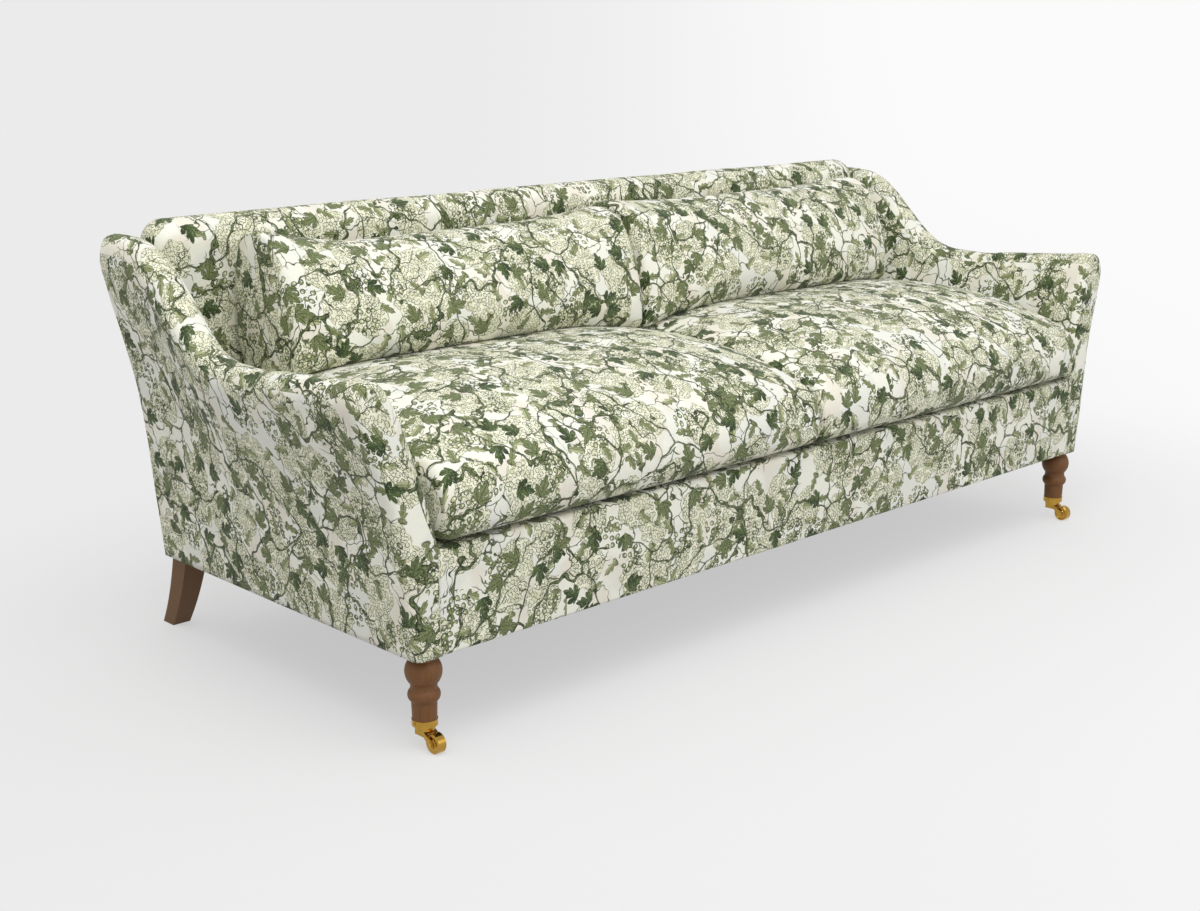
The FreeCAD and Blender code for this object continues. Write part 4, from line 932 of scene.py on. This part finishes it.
class BackRest:
    """Inside back with its rolled top, and the flat panel behind."""

    def roll(self) -> None:
        """Makes the inside back and the roll."""
        c = CARCASS
        radius = c.roll_radius
        centre = (c.back - radius, c.back_height - radius)
        face, inner = c.back - 0.0945, c.back - 0.063
        foot, tail = c.crease + 0.0005, 0.69
        outline = trace(
            (face, foot),
            ((centre[0] - radius, centre[1]), 34),
            ((centre[0], c.back_height), (c.back, centre[1]), 34),
            ((c.back, tail), 6),
            ((inner, tail), 6),
            ((inner, foot), 8),
            ((face, foot), 3),
        )
        run, inset = quarter_turn(0.036, 12)
        run = c.roll_reach - run
        x = np.concatenate([-run, np.linspace(-run[-1], run[-1], 190)[1:-1], run[::-1]])
        draw = np.concatenate([inset, np.zeros(188), inset[::-1]])
        rings = np.zeros((len(x), len(outline), 3))
        rings[..., 0] = x[:, None]
        rings[..., 1:] = outline[None]
        hub = np.array([centre[0], centre[1] - 0.02])
        away = rings[..., 1:] - hub
        far = np.linalg.norm(away, axis=-1, keepdims=True)
        high = smoothstep(rings[..., 2], 0.60, 0.72)[..., None]
        rings[..., 1:] -= away / np.maximum(far, 1e-6) * np.minimum(draw[:, None, None], far * 0.9) * high
        wave = waves(rings, 0.4, 23)[..., None] * 0.0016 * smoothstep(rings[..., 2], 0.7, 0.76)[..., None]
        rings[..., 1:] += away / np.maximum(far, 1e-6) * wave - (0.0, 0.0012)
        shell = Shell()
        shell.tube(rings, 51, (0.0, -0.4))
        upholster(shell.build("inside_back_cover"), "sofa_frame", ("back_pad",))

    def panel(self) -> None:
        """Makes the outside back, which covers both arms' rear ends."""
        c = CARCASS
        heights = np.linspace(c.foot + 0.001, 0.70, 70)
        rise = c.arm_low + c.arm_back_lift - 0.012 - c.foot
        share = (heights - c.foot) / rise
        outer = c.half_base + c.flare * np.interp(share, OUTER[:, 0], OUTER[:, 1]) - 0.016
        t = np.linspace(-1.0, 1.0, 160)
        x = outer[:, None] * t[None, :]
        z = np.broadcast_to(heights[:, None], x.shape)
        edge = np.minimum.reduce([outer[:, None] - abs(x), z - heights[0], heights[-1] - z])
        bow = 0.0011 * smoothstep(edge, 0.0, 0.012)
        outside = np.stack([x, c.back - 0.0014 + bow, z], axis=-1)
        inside = outside.copy()
        inside[..., 1] = c.back - 0.0055
        shell = Shell()
        for sheet, shift in ((outside, 0.0), (inside, 1.3)):
            shell.grid(sheet, sheet[..., (0, 2)] + shift)
        for pick in (np.s_[0], np.s_[-1], np.s_[:, 0], np.s_[:, -1]):
            strip = np.stack([outside[pick], inside[pick]], axis=1)
            shell.grid(strip, strip[..., (0, 2)])
        upholster(shell.build("outside_back_cover"), "sofa_frame", ("outside_back",))

    def build(self) -> None:
        """Makes both pieces."""
        self.roll()
        self.panel()


# Cushions

# Where the back cushions start to rest on the seat, how far that slopes back, and the seat's half width
REST_LINE = CARCASS.front + 0.429
REST_SLOPE = 0.0331
SEAT_REACH = 0.9048
# Height at which the back cushions rest on the seat before it is crowned
REST_HEIGHT = 0.500
# Frames of the cloth simulation
FRAMES = 14


@dataclass(frozen=True)
class Stuffing:
    """How a cushion is filled and how far its cover may swell."""

    pressure: float
    cap: float
    fill: float


def settle(across: np.ndarray) -> np.ndarray:
    """Height at which a back cushion rests on a seat cushion, against REST_HEIGHT.

    Both are soft, so the line where they meet is crowned: level over the middle
    of a seat cushion and falling away within 300 mm of its ends.

    Args:
        across: Distance from the middle of the sofa.

    Returns:
        Height above REST_HEIGHT.
    """
    from_end = np.minimum(abs(across), SEAT_REACH - abs(across))
    share = np.clip(from_end / 0.30, 0.0, 1.0)
    return -0.004 + 0.036 * (1.0 - (1.0 - share) ** 2.8)


def rest_height(points: np.ndarray) -> np.ndarray:
    """Height of the surface between seat and back cushions, below or above each point."""
    return REST_HEIGHT + settle(points[:, 0]) - (points[:, 1] - REST_LINE) * REST_SLOPE


@dataclass
class Cushion:
    """A loose cushion: a closed, crowned form whose cover is swollen by a cloth simulation."""

    side: int
    name: str
    cover: str
    body: str
    nodes: tuple[str, ...]
    near: float
    far: float
    rounding: float
    bulge: float
    stuffing: Stuffing

    def profile(self, across: float, crown: float, draw: float, end: float) -> np.ndarray:
        """Closed outline at one station, as depth and height.

        Args:
            across: Distance of the station from the middle of the sofa.
            crown: How full it is there, from 0 to 1.
            draw: How far it is drawn in, from 0 to 1 at the ends.
            end: Distance from the nearer end.
        """
        raise NotImplementedError

    def taper(self, end: np.ndarray) -> np.ndarray:
        """How far the cushion is drawn in at a distance from its end, from 1 to 0."""
        share = 1.0 - np.clip(end / self.rounding, 0.0, 1.0)
        return 1.0 - np.sqrt(1.0 - share**2)

    def limit(self, points: np.ndarray) -> np.ndarray:
        """Keeps points clear of the cushion's neighbours."""
        raise NotImplementedError

    def shape(self) -> bpy.types.Object:
        """Makes the cushion before it is filled."""
        length = self.far - self.near
        first = quarter_turn(0.020, 9)[0] / length
        close = np.linspace(first[-1], 0.16, 12)[1:]
        middle = np.linspace(0.16, 0.84, 44)[1:-1]
        t = np.concatenate([first, close, middle, 1.0 - close[::-1], 1.0 - first[::-1]])
        end = np.minimum(t, 1.0 - t) * length
        draw = self.taper(end)
        crown = np.sin(math.pi * np.clip(t, 0.0, 1.0)) ** 0.62
        rings = []
        for station, rise, inset, away in zip(t, crown, draw, end):
            across = self.near + station * length
            outline = self.profile(across, rise, inset, away)
            ring = np.zeros((len(outline), 3))
            ring[:, 0] = self.side * across
            ring[:, 1:] = outline
            rings.append(ring)
        rings = np.stack(rings)
        shell = Shell()
        highest = int(np.argmax(rings[len(rings) // 2, :, 2]))
        shell.tube(rings, highest, (0.0, 0.23 * self.side), caps=9, bulge=self.bulge)
        return shell.build(f"{self.cover}_{self.name}", weld=1e-4)

    def fill(self, piece: bpy.types.Object) -> None:
        """Swells the cover by a short cloth simulation, capped and kept clear."""
        scene = bpy.context.scene
        count = len(piece.data.vertices)
        before = np.zeros(count * 3)
        piece.data.vertices.foreach_get("co", before)
        before = before.reshape(-1, 3)
        cloth = piece.modifiers.new("fill", "CLOTH")
        cloth.settings.quality = 5
        cloth.settings.mass = 0.4
        cloth.settings.tension_stiffness = 22.0
        cloth.settings.compression_stiffness = 22.0
        cloth.settings.shear_stiffness = 12.0
        cloth.settings.bending_stiffness = 0.6
        cloth.settings.use_pressure = True
        cloth.settings.uniform_pressure_force = self.stuffing.pressure
        cloth.settings.effector_weights.gravity = 0.0
        cloth.point_cache.frame_start = 1
        cloth.point_cache.frame_end = FRAMES
        for number in range(1, FRAMES + 1):
            scene.frame_set(number)
        graph = bpy.context.evaluated_depsgraph_get()
        swollen = piece.evaluated_get(graph).data
        after = np.zeros(count * 3)
        swollen.vertices.foreach_get("co", after)
        after = after.reshape(-1, 3)
        piece.modifiers.remove(cloth)
        scene.frame_set(1)
        move = after - before
        size = np.linalg.norm(move, axis=1, keepdims=True)
        LOG.info("%s swelled by %.4f at most", piece.name, float(size.max()))
        before = before + move * np.minimum(1.0, self.stuffing.cap / np.maximum(size, 1e-9))
        done = self.limit(before)
        piece.data.vertices.foreach_set("co", done.ravel())
        piece.data.update()

    def build(self) -> None:
        """Makes the whole cushion."""
        piece = self.shape()
        self.fill(piece)
        smooth = piece.modifiers.new("smooth", "SUBSURF")
        smooth.levels = 1
        smooth.render_levels = 1
        nodes = tuple(f"{node}_{self.name}" for node in self.nodes)
        upholster(piece, f"{self.body}_{self.name}", nodes)


@dataclass
class SeatCushion(Cushion):
    """Deep seat cushion with a rounded front that hangs past the border."""

    cover: str = "seat_cover"
    body: str = "seat"
    nodes: tuple[str, ...] = ("seat_cushion",)
    near: float = 0.0036
    far: float = SEAT_REACH - 0.003
    rounding: float = 0.018
    bulge: float = 0.003
    stuffing: Stuffing = Stuffing(pressure=0.2, cap=0.006, fill=0.75)

    def profile(self, across: float, crown: float, draw: float, end: float) -> np.ndarray:
        c = CARCASS
        inset = draw * 0.013 + 0.003
        rest_lift = float(settle(np.float64(across)))
        low = c.crease + 0.0006 + (inset - 0.003)
        front = c.front - 0.0205 + inset
        back = c.inside_back - 0.0025 - inset
        corner = 0.030
        face_top = 0.394
        rest_top = REST_HEIGHT + rest_lift - inset
        rear_top = rest_top - 0.008
        rise = 0.005 + crown * 0.005
        crest = (c.front + 0.263, rest_top + rise)
        shoulder = REST_HEIGHT - inset - 0.047 + 0.5 * rest_lift + rise / 4
        reach = 0.032
        knee = face_knee(front, face_top, reach, shoulder - face_top)
        bend = corner * QUARTER_MIDDLE
        start = (front + corner, low + 0.007)
        return trace(
            start,
            ((front + 0.12, low), 5),
            ((back - corner, low), 18),
            ((back - bend, low + bend), (back, low + corner), 5),
            ((back, rear_top - corner), 6),
            ((back - bend, rear_top - bend), (back - corner, rear_top), 5),
            ((REST_LINE, rest_top), 8),
            (crest, (front + reach, shoulder), 26),
            (knee, (front, face_top), 9),
            ((front, low + corner), 4),
            ((front + bend, low + 0.006 + bend), start, 8),
        )

    def limit(self, points: np.ndarray) -> np.ndarray:
        c = CARCASS
        done = points.copy()
        done[:, 2] = np.maximum(done[:, 2], c.crease + 0.0004)
        done[:, 1] = np.clip(done[:, 1], c.front - 0.0265, c.inside_back - 0.0012)
        done[:, 0] = np.clip(abs(done[:, 0]), 0.0005, SEAT_REACH) * self.side
        # Under the back cushion the top stays at the height that it rests at
        top = np.where(done[:, 1] > REST_LINE, rest_height(done) - 0.0004, 1.0)
        done[:, 2] = np.minimum(done[:, 2], top)
        return done


@dataclass
class BackCushion(Cushion):
    """Loose back cushion that leans on the inside back and bellies forward."""

    cover: str = "back_cover"
    body: str = "backrest"
    nodes: tuple[str, ...] = ("back_cushion", "back_core")
    near: float = 0.0045
    far: float = 0.837
    rounding: float = 0.020
    bulge: float = 0.005
    stuffing: Stuffing = Stuffing(pressure=0.7, cap=0.009, fill=0.7)

    @property
    def loft(self) -> tuple[float, float, float]:
        """Height of the top's middle, and how far the inner and outer corners stand above it."""
        return (0.745, 0.010, 0.009) if self.side > 0 else (0.731, 0.016, 0.034)

    def profile(self, across: float, crown: float, draw: float, end: float) -> np.ndarray:
        c = CARCASS
        middle_top, inner_ear, outer_ear = self.loft
        outer = across > 0.42
        slow = (1.0 - min(end / 0.24, 1.0)) ** 2
        inset = 0.003 + 0.020 * draw + slow * (0.024 if outer else 0.006)
        rear = c.inside_back - 0.0006 - 0.25 * inset
        front = c.inside_back - 0.234 + inset
        top = middle_top + slow * (outer_ear if outer else inner_ear) - 0.010 * draw
        corner, turn, drop = 0.026, 0.022, 0.020
        lean = 0.098 - 0.034 * slow
        lift = REST_HEIGHT + float(settle(np.float64(across))) + 0.0006 + 0.07 * inset
        low = lift - REST_SLOPE * (front + corner - REST_LINE)
        rear_low = lift - REST_SLOPE * (rear - turn - REST_LINE)
        face_foot = low + corner
        face_top = top - drop
        belly = face_knee(front, face_foot, lean, face_top - face_foot)
        bend = corner * QUARTER_MIDDLE
        return trace(
            (front + corner, low),
            ((rear - turn, rear_low), 12),
            ((rear, (rear_low + face_top) / 2), (rear - turn, face_top), 20),
            (((front + lean + rear - turn) / 2, top), (front + lean, face_top), 12),
            (belly, (front, face_foot), 22),
            ((front + bend, low + bend), (front + corner, low), 6),
        )

    def limit(self, points: np.ndarray) -> np.ndarray:
        c = CARCASS
        done = points.copy()
        done[:, 1] = np.minimum(done[:, 1], c.inside_back - 0.0008)
        done[:, 0] = np.clip(abs(done[:, 0]), 0.0005, 0.846) * self.side
        done[:, 2] = np.clip(done[:, 2], rest_height(done) + 0.0004, 0.764)
        return done


# CAD pieces that stay

SIDES = ((1, "right"), (-1, "left"))


def both(*stems: str) -> tuple[str, ...]:
    """Names of the nodes that come in pairs."""
    return tuple(f"{stem}_{name}" for stem in stems for _, name in SIDES)


KEPT = {
    Finish.FRAME_TIMBER: ("front_rail", "back_rail", "centre_rail", "back_top_rail", "back_stay_rail",
                          "back_centre_post", "corner_blocks",
                          *both("side_rail", "front_post", "back_post", "arm_rail")),
    Finish.CUSHION_FILLING: (*both("seat_core"), "seat_deck"),
    Finish.JUTE: ("spring_hessian", "back_webbing"),
    Finish.DUST_CLOTH: ("dust_cover",),
    Finish.TURNED_WOOD: both("front_leg"),
    Finish.DARK_WOOD: both("rear_leg"),
    Finish.BRASS: (*both("castor_cup", "castor_pintle", "castor_horn", "castor_axle", "castor_wheel"),
                   "castor_cup_screws"),
    Finish.SPRING_STEEL: ("seat_springs", "spring_clips"),
    Finish.PLATED_STEEL: ("leg_bolts",),
}


def dress_frame() -> None:
    """Gives every CAD node that stays its finish, and softens the edges of the seen ones."""
    for finish, names in KEPT.items():
        for name in names:
            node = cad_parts[name]
            WARDROBE.dress(node, finish)
            if name.startswith(("rear_leg", "castor")):
                soften = node.modifiers.new("edges", "BEVEL")
                soften.width = 0.0016 if name.startswith("rear_leg") else 0.0006
                soften.segments = 3
                soften.limit_method = "ANGLE"
                soften.angle_limit = math.radians(35.0)
                soften.harden_normals = True


# Studio


@dataclass(frozen=True)
class Studio:
    """Pale floor, soft light and the photograph's camera."""

    place: tuple[float, float, float] = (-2.413, -2.3295, 1.110)
    yaw: float = 43.87
    pitch: float = -14.51
    lens: float = 50.0

    def camera(self) -> None:
        """Makes the camera."""
        data = bpy.data.cameras.new("camera")
        data.lens = self.lens
        data.sensor_width = 36.0
        data.clip_end = 100.0
        camera = bpy.data.objects.new("camera", data)
        camera.location = self.place
        camera.rotation_euler = (math.radians(90.0 + self.pitch), 0.0, math.radians(-self.yaw))
        bpy.context.scene.collection.objects.link(camera)
        bpy.context.scene.camera = camera

    def floor(self) -> None:
        """Makes a wide floor that curves up into a backdrop far behind.

        The camera and reflections see a share of plain light in its colour, more
        with the distance from the sofa, so that only the sofa's shadow shows.
        """
        x = np.linspace(-14.0, 14.0, 30)
        flat = np.linspace(-12.0, 8.0, 30)
        turns = np.linspace(0.0, math.pi / 2, 16)[1:]
        depth = np.concatenate([flat, 8.0 + 4.0 * np.sin(turns), np.full(6, 12.0)])
        height = np.concatenate([np.zeros(30), 4.0 * (1.0 - np.cos(turns)), np.linspace(4.5, 9.0, 6)])
        turn = math.radians(-self.yaw)
        across = np.broadcast_to(x[:, None], (len(x), len(depth)))
        deep = np.broadcast_to(depth[None, :], across.shape)
        points = np.stack([
            across * math.cos(turn) - deep * math.sin(turn),
            across * math.sin(turn) + deep * math.cos(turn),
            np.broadcast_to(height[None, :], across.shape),
        ], axis=-1)
        mesh = bpy.data.meshes.new("floor")
        mesh.from_pydata(points.reshape(-1, 3).tolist(), [], grid_quads(*across.shape).tolist())
        mesh.shade_smooth()
        floor = bpy.data.objects.new("floor", mesh)
        bpy.context.scene.collection.objects.link(floor)
        g = Graph("pale_floor")
        at = g.own_place()
        x_at, y_at, _ = g.split(at)
        # Along the picture's width: pale grey on the left, near white on the right
        right = x_at * math.cos(turn) + y_at * math.sin(turn)
        colour = g.mix(right.step(-1.4, 2.6), shade("EBEBEB"), shade("FBFBFB"))
        away = ((x_at / 1.5) * (x_at / 1.5) + (y_at / 1.0) * (y_at / 1.0)).root()
        plain = g.node("ShaderNodeEmission", [colour, 1.0])
        shadowed = g.node("ShaderNodeBsdfDiffuse", [shade("E3E3E3")])
        bounce = g.node("ShaderNodeBsdfDiffuse", [shade("B8B8B8")])
        lit_share = 0.6 + 0.4 * away.step(0.75, 1.5)
        seen = g.node("ShaderNodeMixShader", [lit_share, shadowed, plain])
        rays = g.node("ShaderNodeLightPath").value.node.outputs
        direct = Wire(g, rays["Is Camera Ray"]).most(Wire(g, rays["Is Glossy Ray"]))
        direct = direct.most(Wire(g, rays["Is Transmission Ray"]))
        whole = g.node("ShaderNodeMixShader", [direct, bounce, seen])
        g.tree.links.new(whole.value, g.tree.nodes["Material Output"].inputs["Surface"])
        g.tree.nodes.remove(g.shader)
        floor.data.materials.append(g.material)

    def lamp(self, name: str, place: tuple, target: tuple, size: float, power: float) -> None:
        """Makes one soft square light aimed at a point."""
        data = bpy.data.lights.new(name, "AREA")
        data.shape = "SQUARE"
        data.size = size
        data.energy = power
        light = bpy.data.objects.new(name, data)
        light.location = place
        away = np.array(place) - np.array(target)
        flat = math.hypot(away[0], away[1])
        light.rotation_euler = (math.atan2(flat, away[2]), 0.0, math.atan2(away[1], away[0]) + math.pi / 2)
        bpy.context.scene.collection.objects.link(light)

    def world(self) -> None:
        """Even pale surroundings."""
        world = bpy.data.worlds.new("studio")
        world.use_nodes = True
        sky = world.node_tree.nodes["Background"]
        sky.inputs["Color"].default_value = (1.0, 1.0, 1.0, 1.0)
        sky.inputs["Strength"].default_value = 0.73
        bpy.context.scene.world = world

    def build(self) -> None:
        """Sets up everything round the sofa."""
        self.camera()
        self.floor()
        self.world()
        self.lamp("key", (-1.6, -1.9, 4.6), (0.0, 0.0, 0.3), 3.5, 114.0)
        self.lamp("fill", (1.5, -5.0, 2.2), (0.0, 0.0, 0.4), 3.0, 28.0)
        scene = bpy.context.scene
        scene.view_settings.view_transform = "Standard"
        scene.view_settings.look = "None"
        scene.view_settings.exposure = 0.0


# Whole sofa


class Sofa:
    """Every dressed piece of the sofa."""

    def build(self) -> None:
        """Makes the pieces in turn."""
        for side, name in SIDES:
            Arm(side, name).build()
        Border().build()
        BackRest().build()
        for side, name in SIDES:
            SeatCushion(side, name).build()
            BackCushion(side, name).build()
        dress_frame()


def main() -> None:
    """Builds the scene."""
    logging.basicConfig(level=logging.INFO)
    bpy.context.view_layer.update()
    Studio().build()
    Sofa().build()


if __name__ == "__main__":
    main()
